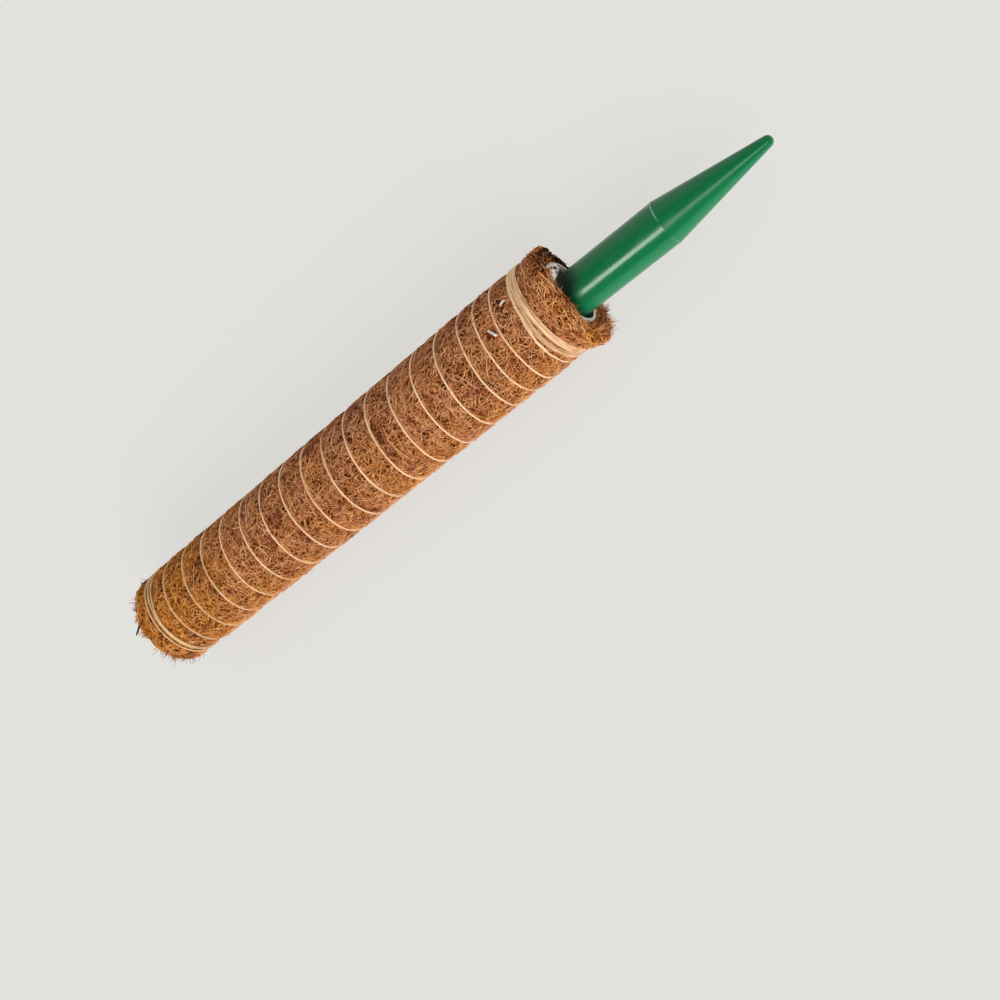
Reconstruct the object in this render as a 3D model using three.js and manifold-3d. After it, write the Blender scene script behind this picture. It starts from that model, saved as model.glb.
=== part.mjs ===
// Coir totem pole for climbing plants: a mat of coconut fibre rolled round a plastic pipe, bound with one
// length of twine and stapled, with a moulded spike glued into the lower end of the pipe.
// Millimetres, +Z up. The pole lies on its mat along X with the spike towards +X, and the origin is on the
// ground under its middle.
import * as THREE from 'three';
import { mergeVertices } from 'three/addons/utils/BufferGeometryUtils.js';
import Module from 'manifold-3d';

// Driving dimensions: pipe and mat
const pipeDiameter = 32;
const pipeWall = 1.4;
const pipeInset = 0.5;
const matLength = 291;
const matThickness = 8.7;
const matEndRadius = 3;
const matEndFlare = 0.8;
const seamGap = 0.6;

// Driving dimensions: twine and its furrow in the mat
const twineDiameter = 1.2;
const twineSink = 0.1;
const furrowSlope = 2.8;
const strandGap = 0.95;
const headBandInset = 11.5;
const tailBandInset = 7.9;
const leadPitch = 10.3;
const windingTurns = 24;
const headBandTurns = 3.25;
const leadTurns = 3;
const closingTurns = 1;
const tailBandTurns = 2.75;

// Driving dimensions: spike and the glue that holds it
const spikePlay = 3.85;
const spikeWall = 2;
const spikeInsertion = 60;
const shankShown = 53;
const noseLength = 56;
const noseTipRadius = 2.4;
const coreTipRadius = 1.5;
const rearChamfer = 1;
const partingRidgeHeight = 0.25;
const partingRidgeWidth = 0.9;
const spikeLean = 0.8;
const spikeLeanSide = 110;
const glueThinnest = 1.85;
const glueRecess = 2.5;
const glueLength = 25;

// Driving dimensions: staples
const stapleCrown = 6;
const stapleWireWidth = 1.2;
const stapleWireThickness = 0.7;
const stapleSink = 0.2;
const stapleBite = 0.8;
const staples = [
  { name: 'staple_1', afterTurn: 3, share: 0.42, angle: -18, slant: 82 },
  { name: 'staple_2', afterTurn: 4, share: 0.35, angle: 1, slant: 28 },
];

// Clearance between pieces that touch on the real pole
const fitGap = 0.3;

// Facets: the twine steps on the edges of the mat's facets, and one edge is straight underneath
const facets = 24;
const strandSides = 6;
const roundSegments = 48;
const boreRows = 12;
const tipSteps = 4;
const endSteps = 2;

// Shares of a furrow, or of the room beside a strand where that is less, at which its sides have points
const furrowSideShare = 0.45;
const crowdedSideShare = 0.2;
const crowdedShoulderShare = 0.45;

// Points of one piece closer than this are one point
const weldDistance = 1e-4;

// Sizes that follow
const degree = Math.PI / 180;
const facetAngle = (2 * Math.PI) / facets;
const seamAngle = -5 * facetAngle;
const pipeRadius = pipeDiameter / 2;
const boreRadius = pipeRadius - pipeWall;
const matBore = pipeRadius + fitGap;
const matRadius = matBore + matThickness;
const restHeight = matRadius * Math.cos(facetAngle);
const twineRadius = twineDiameter / 2;
const furrowReach = twineRadius + furrowSlope;
const windingRadius = matRadius - twineSink - twineRadius;
const furrowFloor = windingRadius - twineRadius - fitGap;
const furrowDepth = matRadius - furrowFloor;
const bandPitch = twineDiameter + strandGap;
const openTurns = windingTurns - headBandTurns - leadTurns - closingTurns - tailBandTurns;
const boundLength = matLength - headBandInset - tailBandInset;
const closeLength = (headBandTurns + tailBandTurns) * bandPitch + (leadTurns + closingTurns) * leadPitch;
const openPitch = (boundLength - closeLength) / openTurns;
const spikeRadius = boreRadius - spikePlay;
const spikeOffset = spikePlay - glueThinnest;
const overallLength = matLength + shankShown + noseLength;

const winding = [
  { turns: headBandTurns, pitch: bandPitch },
  { turns: leadTurns, pitch: leadPitch },
  { turns: openTurns, pitch: openPitch },
  { turns: closingTurns, pitch: leadPitch },
  { turns: tailBandTurns, pitch: bandPitch },
];

const wasm = await Module();
wasm.setup();

// Point at a radius and an angle round the pole, the angle counted from straight up towards the front
function roundPole(radius, angle, along) {
  return new THREE.Vector3(radius * Math.sin(angle), along, radius * Math.cos(angle));
}

// Radius that is left where the pole's own weight presses the mat level, two facets wide, underneath
function pressed(radius, angle) {
  const downward = -Math.cos(angle);
  const press = downward > 0 ? matRadius - restHeight / downward : 0;
  return radius - Math.max(press, 0);
}

// Distance along the pole, counted from its far end, of a point counted from the mouth
function fromMouth(distance) {
  return matLength - distance;
}

// Solid for joining and cutting, from a closed geometry
function toSolid(geometry) {
  const bare = new THREE.BufferGeometry();
  bare.setAttribute('position', geometry.getAttribute('position'));
  bare.setIndex(geometry.getIndex());
  const merged = mergeVertices(bare, weldDistance);
  const vertProperties = Float32Array.from(merged.getAttribute('position').array);
  const triVerts = Uint32Array.from(merged.getIndex().array);
  return new wasm.Manifold(new wasm.Mesh({ numProp: 3, vertProperties, triVerts }));
}

// Named mesh from a solid
function toMesh(name, solid, color, roughness, metalness = 0) {
  const { vertProperties, triVerts } = solid.getMesh();
  const geometry = new THREE.BufferGeometry();
  geometry.setAttribute('position', new THREE.BufferAttribute(vertProperties, 3));
  geometry.setIndex(new THREE.BufferAttribute(triVerts, 1));
  geometry.computeVertexNormals();
  const mesh = new THREE.Mesh(geometry, new THREE.MeshStandardMaterial({ color, roughness, metalness }));
  mesh.name = name;
  return mesh;
}

// Triangles between two rows of numbered points, where "at" orders the points of both rows
function zipRows(left, right, triangles) {
  let i = 0;
  let j = 0;
  while (i < left.length - 1 || j < right.length - 1) {
    const stepLeft = j === right.length - 1 || (i < left.length - 1 && left[i + 1].at <= right[j + 1].at);
    if (stepLeft) {
      triangles.push(left[i].id, left[i + 1].id, right[j].id);
      i += 1;
    } else {
      triangles.push(left[i].id, right[j + 1].id, right[j].id);
      j += 1;
    }
  }
}

// Distance of the twine from the mouth after a number of turns
function windingDistance(turn) {
  let distance = headBandInset;
  let left = turn;
  for (const { turns, pitch } of winding) {
    const part = Math.min(left, turns);
    distance += part * pitch;
    left -= part;
  }
  return distance;
}

// Radius of the mat's surface at a distance along the pole from the nearest twine
function furrowRadius(distance) {
  const t = Math.min(distance / furrowReach, 1);
  return furrowFloor + furrowDepth * t * t * (3 - 2 * t);
}

// True where two neighbouring turns stand far enough apart for the mat to rise between them
function matRisesAfter(turn) {
  const gapFromSeam = windingDistance(turn + 1) - windingDistance(turn);
  const gapToSeam = windingDistance(turn + 2) - windingDistance(turn + 1);
  return turn < windingTurns - 1 && Math.max(gapFromSeam, gapToSeam) > furrowReach;
}

// Rounded and flared end of the mat, as distances from the end with radii
function matEndRows(room) {
  const run = Math.min(matEndRadius, room / 2);
  return Array.from({ length: endSteps + 1 }, (_, step) => {
    const turn = (step / endSteps) * (Math.PI / 2);
    return {
      distance: run * (1 - Math.cos(turn)),
      radius: matRadius + matEndFlare - matEndRadius * (1 - Math.sin(turn)),
    };
  });
}

// Furrow sides between two distances that have twine at one end or at both
function furrowRows(start, gap, twineAtStart, twineAtEnd) {
  const shoulder = Math.min(furrowReach, gap * crowdedShoulderShare);
  const side = Math.min(furrowReach * furrowSideShare, gap * crowdedSideShare);
  const rows = [];
  if (twineAtStart) {
    rows.push({ distance: start + side, radius: furrowRadius(side) });
    rows.push({ distance: start + shoulder, radius: furrowRadius(shoulder) });
  }
  if (twineAtEnd) {
    rows.push({ distance: start + gap - shoulder, radius: furrowRadius(shoulder) });
    rows.push({ distance: start + gap - side, radius: furrowRadius(side) });
  }
  return rows;
}

// Outline of the mat along the pole, at a share of one turn from the seam
function matOutline(share) {
  const crossings = Array.from({ length: windingTurns }, (_, i) => windingDistance(i + share));
  const last = crossings[windingTurns - 1];
  const headRoom = crossings[0];
  const tailRoom = matLength - last;
  const rows = [...matEndRows(headRoom), ...furrowRows(0, headRoom, false, true)];
  crossings.forEach((distance, i) => {
    rows.push({ distance, radius: furrowFloor });
    if (matRisesAfter(i)) {
      rows.push(...furrowRows(distance, crossings[i + 1] - distance, true, true));
    }
  });
  rows.push(...furrowRows(last, tailRoom, true, false));
  const tail = matEndRows(tailRoom).reverse();
  rows.push(...tail.map(({ distance, radius }) => ({ distance: matLength - distance, radius })));
  return rows;
}

// Rolled mat: one sheet with a butt seam, a furrow under the twine and its underside level on the ground
function matSolid() {
  const points = [];
  const triangles = [];
  const placeSurface = (radius, angle, distance) => {
    const point = roundPole(pressed(radius, angle), angle, fromMouth(distance));
    point.z = Math.max(point.z, -restHeight);
    points.push(point);
    return { id: points.length - 1, at: distance };
  };
  const placeBore = (angle, distance) => {
    points.push(roundPole(matBore, angle, fromMouth(distance)));
    return { id: points.length - 1, at: distance };
  };
  const seamTrim = seamGap / 2 / matRadius;
  const outer = [];
  const inner = [];
  for (let j = 0; j <= facets; j += 1) {
    const trim = j === 0 ? seamTrim : j === facets ? -seamTrim : 0;
    const angle = seamAngle + j * facetAngle + trim;
    const outline = matOutline(j / facets);
    outer.push(outline.map(({ distance, radius }) => placeSurface(radius, angle, distance)));
    const stations = Array.from({ length: boreRows }, (_, i) => (matLength * i) / (boreRows - 1));
    inner.push(stations.map((distance) => placeBore(angle, distance)));
  }
  const byRow = (column) => column.map(({ id }, at) => ({ id, at }));
  for (let j = 0; j < facets; j += 1) {
    zipRows(byRow(outer[j]), byRow(outer[j + 1]), triangles);
    zipRows(byRow(inner[j + 1]), byRow(inner[j]), triangles);
  }
  zipRows(inner[0], outer[0], triangles);
  zipRows(outer[facets], inner[facets], triangles);
  const rim = (columns, end) => columns.map((column, at) => ({ id: column.at(end).id, at }));
  zipRows(rim(outer, 0), rim(inner, 0), triangles);
  zipRows(rim(inner, -1), rim(outer, -1), triangles);
  const geometry = new THREE.BufferGeometry().setFromPoints(points);
  geometry.setIndex(triangles);
  return toSolid(geometry);
}

// Centre line of the twine, from the mouth to the far end
function twinePath() {
  return Array.from({ length: windingTurns * facets + 1 }, (_, step) => {
    const angle = seamAngle + step * facetAngle;
    const radius = pressed(windingRadius, angle);
    return roundPole(radius, angle, fromMouth(windingDistance(step / facets)));
  });
}

// Least gap between the twine and its own other turns, on the points of the path
function leastTwineGap(path) {
  let least = Infinity;
  for (let i = 0; i < path.length; i += 1) {
    for (let j = i + facets / 2; j < path.length; j += 1) {
      least = Math.min(least, path[i].distanceTo(path[j]) - twineDiameter);
    }
  }
  return least;
}

// Twine: one unbroken tube along its path, with flat ends
function twineSolid(path) {
  const points = [];
  const triangles = [];
  path.forEach((point, i) => {
    const ahead = path[Math.min(i + 1, path.length - 1)];
    const behind = path[Math.max(i - 1, 0)];
    const tangent = ahead.clone().sub(behind).normalize();
    const radial = new THREE.Vector3(point.x, 0, point.z).normalize();
    const across = tangent.clone().cross(radial).normalize();
    const outward = across.clone().cross(tangent);
    for (let k = 0; k < strandSides; k += 1) {
      const turn = (2 * Math.PI * k) / strandSides;
      const offset = outward.clone().multiplyScalar(Math.cos(turn)).addScaledVector(across, Math.sin(turn));
      points.push(point.clone().addScaledVector(offset, twineRadius));
    }
  });
  const ring = (i) => Array.from({ length: strandSides + 1 }, (_, k) => ({
    id: i * strandSides + (k % strandSides),
    at: k,
  }));
  for (let i = 0; i < path.length - 1; i += 1) {
    zipRows(ring(i), ring(i + 1), triangles);
  }
  const end = (path.length - 1) * strandSides;
  for (let k = 1; k < strandSides - 1; k += 1) {
    triangles.push(0, k + 1, k);
    triangles.push(end, end + k, end + k + 1);
  }
  const geometry = new THREE.BufferGeometry().setFromPoints(points);
  geometry.setIndex(triangles);
  return toSolid(geometry);
}

// Pipe, sawn square at both ends
function pipeSolid() {
  const start = pipeInset;
  const end = matLength - pipeInset;
  const profile = [
    new THREE.Vector2(boreRadius, start),
    new THREE.Vector2(pipeRadius, start),
    new THREE.Vector2(pipeRadius, end),
    new THREE.Vector2(boreRadius, end),
    new THREE.Vector2(boreRadius, start),
  ];
  return toSolid(new THREE.LatheGeometry(profile, roundSegments));
}

// Spike: hollow shank open at the rear, parting ridge of the mould, and a nose with a round tip
function spikeSolid() {
  const tip = shankShown + noseLength;
  const tipCentre = tip - noseTipRadius;
  const run = tipCentre - shankShown;
  const reach = Math.hypot(run, spikeRadius);
  const noseAngle = Math.acos(noseTipRadius / reach) - Math.atan2(run, spikeRadius);
  const coreRadius = spikeRadius - spikeWall;
  const coreLength = (coreRadius - coreTipRadius) / Math.tan(noseAngle);
  const profile = [
    new THREE.Vector2(0, shankShown + coreLength),
    new THREE.Vector2(coreTipRadius, shankShown + coreLength),
    new THREE.Vector2(coreRadius, shankShown),
    new THREE.Vector2(coreRadius, -spikeInsertion),
    new THREE.Vector2(spikeRadius - rearChamfer, -spikeInsertion),
    new THREE.Vector2(spikeRadius, rearChamfer - spikeInsertion),
    new THREE.Vector2(spikeRadius, shankShown - partingRidgeWidth / 2),
    new THREE.Vector2(spikeRadius + partingRidgeHeight, shankShown),
    new THREE.Vector2(spikeRadius, shankShown + partingRidgeWidth / 2),
  ];
  for (let i = 0; i < tipSteps; i += 1) {
    const turn = noseAngle + ((Math.PI / 2 - noseAngle) * i) / tipSteps;
    const radius = noseTipRadius * Math.cos(turn);
    profile.push(new THREE.Vector2(radius, tipCentre + noseTipRadius * Math.sin(turn)));
  }
  profile.push(new THREE.Vector2(0, tip));
  return toSolid(new THREE.LatheGeometry(profile, roundSegments));
}

// Round bar along the pole between two distances, for the glue and the room it leaves
function roundBar(radius, start, end) {
  const bar = new THREE.CylinderGeometry(radius, radius, end - start, roundSegments);
  return bar.translate(0, (start + end) / 2, 0);
}

// Glue between the bore and the shank, cut clear of both
function glueSolid(spikeSeat) {
  const face = matLength - pipeInset - glueRecess;
  const fill = roundBar(boreRadius - fitGap, face - glueLength, face);
  const shank = roundBar(spikeRadius + fitGap, -spikeInsertion, shankShown);
  return toSolid(fill).subtract(toSolid(shank.applyMatrix4(spikeSeat)));
}

// Staple outline: a crown with two legs, drawn with the crown's outer face on the X axis
function stapleShape(legLength, grow, head) {
  const half = stapleCrown / 2 + grow;
  const inside = stapleCrown / 2 - stapleWireThickness - grow;
  const throat = -stapleWireThickness - grow;
  return new THREE.Shape([
    new THREE.Vector2(-half, head),
    new THREE.Vector2(-half, -legLength - grow),
    new THREE.Vector2(-inside, -legLength - grow),
    new THREE.Vector2(-inside, throat),
    new THREE.Vector2(inside, throat),
    new THREE.Vector2(inside, -legLength - grow),
    new THREE.Vector2(half, -legLength - grow),
    new THREE.Vector2(half, head),
  ]);
}

// Staple solid, or with a growth the room that it leaves open to the outside of the mat
function stapleSolid(grow, head, seat) {
  const legLength = matRadius - stapleSink - pipeRadius + stapleBite;
  const depth = stapleWireWidth + 2 * grow;
  const shape = stapleShape(legLength, grow, head);
  const geometry = new THREE.ExtrudeGeometry(shape, { depth, bevelEnabled: false });
  return toSolid(geometry.translate(0, 0, -depth / 2).applyMatrix4(seat));
}

// Place of a staple: between two turns, crown turned from across to along the pole, legs towards the axis
function stapleSeat({ afterTurn, share, angle, slant }) {
  const turn = angle * degree;
  const passed = afterTurn + (turn - seamAngle) / (2 * Math.PI);
  const start = windingDistance(passed);
  const distance = start + share * (windingDistance(passed + 1) - start);
  const outward = roundPole(1, turn, 0);
  const across = roundPole(1, turn + Math.PI / 2, 0);
  const crown = across.multiplyScalar(Math.cos(slant * degree));
  crown.y += Math.sin(slant * degree);
  const side = crown.clone().cross(outward);
  const seat = new THREE.Matrix4().makeBasis(crown, outward, side);
  return seat.setPosition(roundPole(matRadius - stapleSink, turn, fromMouth(distance)));
}

// Place of the spike: off centre in the bore at the mouth, and leaning a little further that way
function spikePlace() {
  const side = spikeLeanSide * degree;
  const lean = spikeLean * degree;
  const axis = roundPole(Math.sin(lean), side, Math.cos(lean));
  const turn = new THREE.Quaternion().setFromUnitVectors(new THREE.Vector3(0, 1, 0), axis);
  const unit = new THREE.Vector3(1, 1, 1);
  return new THREE.Matrix4().compose(roundPole(spikeOffset, side, matLength), turn, unit);
}

const spikeSeat = spikePlace();
const path = twinePath();
console.log(`Least gap between turns of the twine: ${leastTwineGap(path).toFixed(2)} mm`);

let mat = matSolid();
let pipe = pipeSolid();
const pole = new THREE.Group();
for (const staple of staples) {
  const seat = stapleSeat(staple);
  const room = stapleSolid(fitGap, matThickness, seat);
  mat = mat.subtract(room);
  pipe = pipe.subtract(room);
  pole.add(toMesh(staple.name, stapleSolid(0, 0, seat), 0xb9bcc0, 0.35, 1));
}
pole.add(toMesh('core_pipe', pipe, 0xe8e6e0, 0.45));
pole.add(toMesh('coir_mat', mat, 0xa5693c, 0.95));
pole.add(toMesh('binding_twine', twineSolid(path), 0xd2aa78, 0.9));
pole.add(toMesh('adhesive_plug', glueSolid(spikeSeat), 0xcdb99b, 0.5));

const spike = toMesh('ground_spike', spikeSolid(), 0x186e3c, 0.35);
spike.applyMatrix4(spikeSeat);
pole.add(spike);

pole.rotation.z = -Math.PI / 2;
pole.position.set(-overallLength / 2, 0, restHeight);

const mossPole = new THREE.Group();
mossPole.add(pole);
export default mossPole;
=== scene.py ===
"""Looks of a coir totem pole for climbing plants.

A mat of coconut fibre is rolled round a plastic pipe and bound with one length of jute twine, two
staples hold it, and a moulded green spike is glued into the mouth of the pipe. Lengths are metres in
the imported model's frame: the pole lies along X, its mouth and its spike point to +X, and angles round
it are counted from straight up towards the front, which is -Y.
"""
import functools
import logging
import math
from dataclasses import dataclass
from enum import Enum
from typing import Any, Sequence

import bmesh
import bpy
from mathutils import Matrix, Vector, noise


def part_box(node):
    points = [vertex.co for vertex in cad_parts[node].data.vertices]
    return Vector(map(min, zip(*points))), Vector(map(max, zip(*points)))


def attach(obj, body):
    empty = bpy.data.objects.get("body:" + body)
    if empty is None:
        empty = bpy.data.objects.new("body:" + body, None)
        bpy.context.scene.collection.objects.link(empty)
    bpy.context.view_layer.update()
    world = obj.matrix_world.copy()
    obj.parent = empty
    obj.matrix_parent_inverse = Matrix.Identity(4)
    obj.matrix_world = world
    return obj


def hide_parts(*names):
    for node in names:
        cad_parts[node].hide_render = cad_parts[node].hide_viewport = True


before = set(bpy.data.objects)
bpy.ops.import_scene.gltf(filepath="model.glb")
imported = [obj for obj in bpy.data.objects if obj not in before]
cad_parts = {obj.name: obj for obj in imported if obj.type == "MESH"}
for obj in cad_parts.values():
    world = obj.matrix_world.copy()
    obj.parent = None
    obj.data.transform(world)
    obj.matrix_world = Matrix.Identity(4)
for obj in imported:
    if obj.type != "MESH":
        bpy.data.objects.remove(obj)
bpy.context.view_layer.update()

LOG = logging.getLogger("totem_pole")
MM = 0.001
BODY = "root"
BAKE_UV = "OFBake"
MAP_EDGE = 0.01
MAP_SPREAD = 0.03

Colour = tuple[float, float, float]
Direction = tuple[float, float, float]
Span = tuple[float, float]


def clamped(value: float) -> float:
    """Value held between zero and one."""
    return min(max(value, 0.0), 1.0)


def bell(offset: float, reach: float) -> float:
    """One at no offset, falling off to both sides over a reach."""
    return math.exp(-((offset / reach) ** 2))


def turned_from(angle: float, zero: float) -> float:
    """Angle counted from another one, from minus half a turn to half a turn."""
    return (angle - zero + math.pi) % math.tau - math.pi


def around(count: int, start: float = 0.0) -> list[float]:
    """Angles of even steps all the way round."""
    return [start + math.tau * step / count for step in range(count)]


class SocketKind(Enum):
    """Kinds of input that a Geometry Nodes tree takes."""

    GEOMETRY = "NodeSocketGeometry"
    NUMBER = "NodeSocketFloat"
    WHOLE = "NodeSocketInt"
    FINISH = "NodeSocketMaterial"


class Wire:
    """Output socket of a node, with arithmetic that adds Math nodes to its tree."""

    def __init__(self, graph: "Graph", socket: bpy.types.NodeSocket) -> None:
        """Keeps the tree and the socket."""
        self.graph = graph
        self.socket = socket

    def out(self, name: str) -> "Wire":
        """Another output of the same node."""
        return Wire(self.graph, self.graph.find(self.socket.node.outputs, name))

    def __add__(self, other: Any) -> "Wire":
        """Sum."""
        return self.graph.math("ADD", self, other)

    __radd__ = __add__

    def __sub__(self, other: Any) -> "Wire":
        """Difference."""
        return self.graph.math("SUBTRACT", self, other)

    def __rsub__(self, other: Any) -> "Wire":
        """Difference from a number."""
        return self.graph.math("SUBTRACT", other, self)

    def __mul__(self, other: Any) -> "Wire":
        """Product."""
        return self.graph.math("MULTIPLY", self, other)

    __rmul__ = __mul__

    def __truediv__(self, other: Any) -> "Wire":
        """Quotient."""
        return self.graph.math("DIVIDE", self, other)

    def at_least(self, other: Any) -> "Wire":
        """The larger of two values."""
        return self.graph.math("MAXIMUM", self, other)

    def at_most(self, other: Any) -> "Wire":
        """The smaller of two values."""
        return self.graph.math("MINIMUM", self, other)

    def above(self, other: Any) -> "Wire":
        """One where this value is larger, and zero elsewhere."""
        return self.graph.math("GREATER_THAN", self, other)


class Graph:
    """Node tree, with methods that add its nodes."""

    def __init__(self, tree: bpy.types.NodeTree) -> None:
        """Keeps the tree."""
        self.tree = tree

    @staticmethod
    def find(sockets: Any, key: str | int) -> bpy.types.NodeSocket:
        """Finds a socket of a node.

        Args:
            sockets: Inputs or outputs of the node.
            key: Number among the sockets in use, identifier, or name.

        Returns:
            The socket.
        """
        usable = [socket for socket in sockets if socket.enabled]
        if isinstance(key, int):
            return usable[key]
        named = [socket for socket in usable if socket.identifier == key]
        return (named or [socket for socket in usable if socket.name == key])[0]

    def add(self, kind: str, settings: dict[str, Any] | None = None,
            inputs: dict[str | int, Any] | None = None, output: str | int = 0) -> Wire:
        """Adds a node.

        Args:
            kind: Type of the node.
            settings: Properties that are set first; "stops" are a ramp's places with colours.
            inputs: Values or wires for its sockets.
            output: The output to return.

        Returns:
            A wire from that output; none from a node without outputs.
        """
        node = self.tree.nodes.new(kind)
        for name, value in (settings or {}).items():
            if name == "stops":
                self._set_stops(node.color_ramp, value)
            else:
                setattr(node, name, value)
        for key, value in (inputs or {}).items():
            socket = self.find(node.inputs, key)
            if isinstance(value, Wire):
                self.tree.links.new(value.socket, socket)
            else:
                socket.default_value = value
        return Wire(self, self.find(node.outputs, output)) if node.outputs else None

    @staticmethod
    def _set_stops(ramp: bpy.types.ColorRamp, stops: Sequence[tuple[float, Colour]]) -> None:
        """Gives a colour ramp its stops.

        Args:
            ramp: The ramp.
            stops: Places from zero to one with their colours, in order.
        """
        while len(ramp.elements) < len(stops):
            ramp.elements.new(0.5)
        for element, (place, colour) in zip(ramp.elements, stops):
            element.position = place
            element.color = (*colour, 1.0)

    def math(self, operation: str, *values: Any) -> Wire:
        """Math node on one value or more."""
        return self.add("ShaderNodeMath", {"operation": operation}, dict(enumerate(values)))

    def vector(self, operation: str, *vectors: Any, output: str = "Vector") -> Wire:
        """Vector Math node on one vector or more."""
        return self.add("ShaderNodeVectorMath", {"operation": operation},
                        dict(enumerate(vectors)), output)

    def stretch(self, vector: Any, factor: Any) -> Wire:
        """Vector times a number."""
        return self.add("ShaderNodeVectorMath", {"operation": "SCALE"},
                        {0: vector, "Scale": factor}, "Vector")

    def combine(self, x: Any, y: Any, z: Any) -> Wire:
        """Vector from three values."""
        return self.add("ShaderNodeCombineXYZ", {}, {"X": x, "Y": y, "Z": z})

    def split(self, vector: Wire) -> tuple[Wire, Wire, Wire]:
        """Three values of a vector."""
        parts = self.add("ShaderNodeSeparateXYZ", {}, {"Vector": vector}, "X")
        return parts, parts.out("Y"), parts.out("Z")

    def smooth(self, value: Wire, low: float, high: float) -> Wire:
        """Smooth step of a value between two limits."""
        return self.add("ShaderNodeMapRange", {"interpolation_type": "SMOOTHSTEP"},
                        {"Value": value, "From Min": low, "From Max": high}, "Result")

    def falling(self, value: Wire, low: float, high: float) -> Wire:
        """One up to the lower limit, falling smoothly to zero at the upper one."""
        return 1.0 - self.smooth(value, low, high)

    def blend(self, factor: Any, first: Any, second: Any) -> Wire:
        """Mix of two colours."""
        return self.add("ShaderNodeMix", {"data_type": "RGBA"},
                        {"Factor_Float": factor, "A_Color": self.opaque(first),
                         "B_Color": self.opaque(second)}, "Result_Color")

    @staticmethod
    def opaque(colour: Any) -> Any:
        """Colour with full alpha; a wire stays as it is."""
        return colour if isinstance(colour, Wire) else (*colour, 1.0)

    def ramp(self, value: Wire, *stops: tuple[float, Colour]) -> Wire:
        """Colour ramp over a value."""
        return self.add("ShaderNodeValToRGB", {"stops": stops}, {"Fac": value}, "Color")

    def cloud(self, vector: Wire, scale: float, detail: float = 2.0, roughness: float = 0.5) -> Wire:
        """Noise over a vector, as a value round one half."""
        return self.add("ShaderNodeTexNoise", {},
                        {"Vector": vector, "Scale": scale, "Detail": detail,
                         "Roughness": roughness}, 0)

    def place(self) -> Wire:
        """Coordinates of a piece, in metres."""
        return self.add("ShaderNodeTexCoord", {}, {}, "Object")

    def raised(self, height: Wire, distance: float) -> Wire:
        """Normal of a surface with a height pattern."""
        return self.add("ShaderNodeBump", {},
                        {"Height": height, "Distance": distance, "Strength": 1.0})

    def length(self, vector: Wire) -> Wire:
        """Length of a vector."""
        return self.vector("LENGTH", vector, output="Value")

    def outward(self, position: Wire, axis_z: float) -> Wire:
        """Vector to a position from the nearest point of the pole's axis."""
        _, y, z = self.split(position)
        return self.combine(0.0, y, z - axis_z)

    def seen(self) -> Wire:
        """One for rays that show the background, straight on, in a gloss or through a surface."""
        rays = self.add("ShaderNodeLightPath", {}, {}, "Is Camera Ray")
        return rays.at_least(rays.out("Is Glossy Ray")).at_least(rays.out("Is Transmission Ray"))

    @staticmethod
    def largest(values: Sequence[Wire]) -> Wire:
        """The largest of several values."""
        return functools.reduce(Wire.at_least, values)


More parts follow.
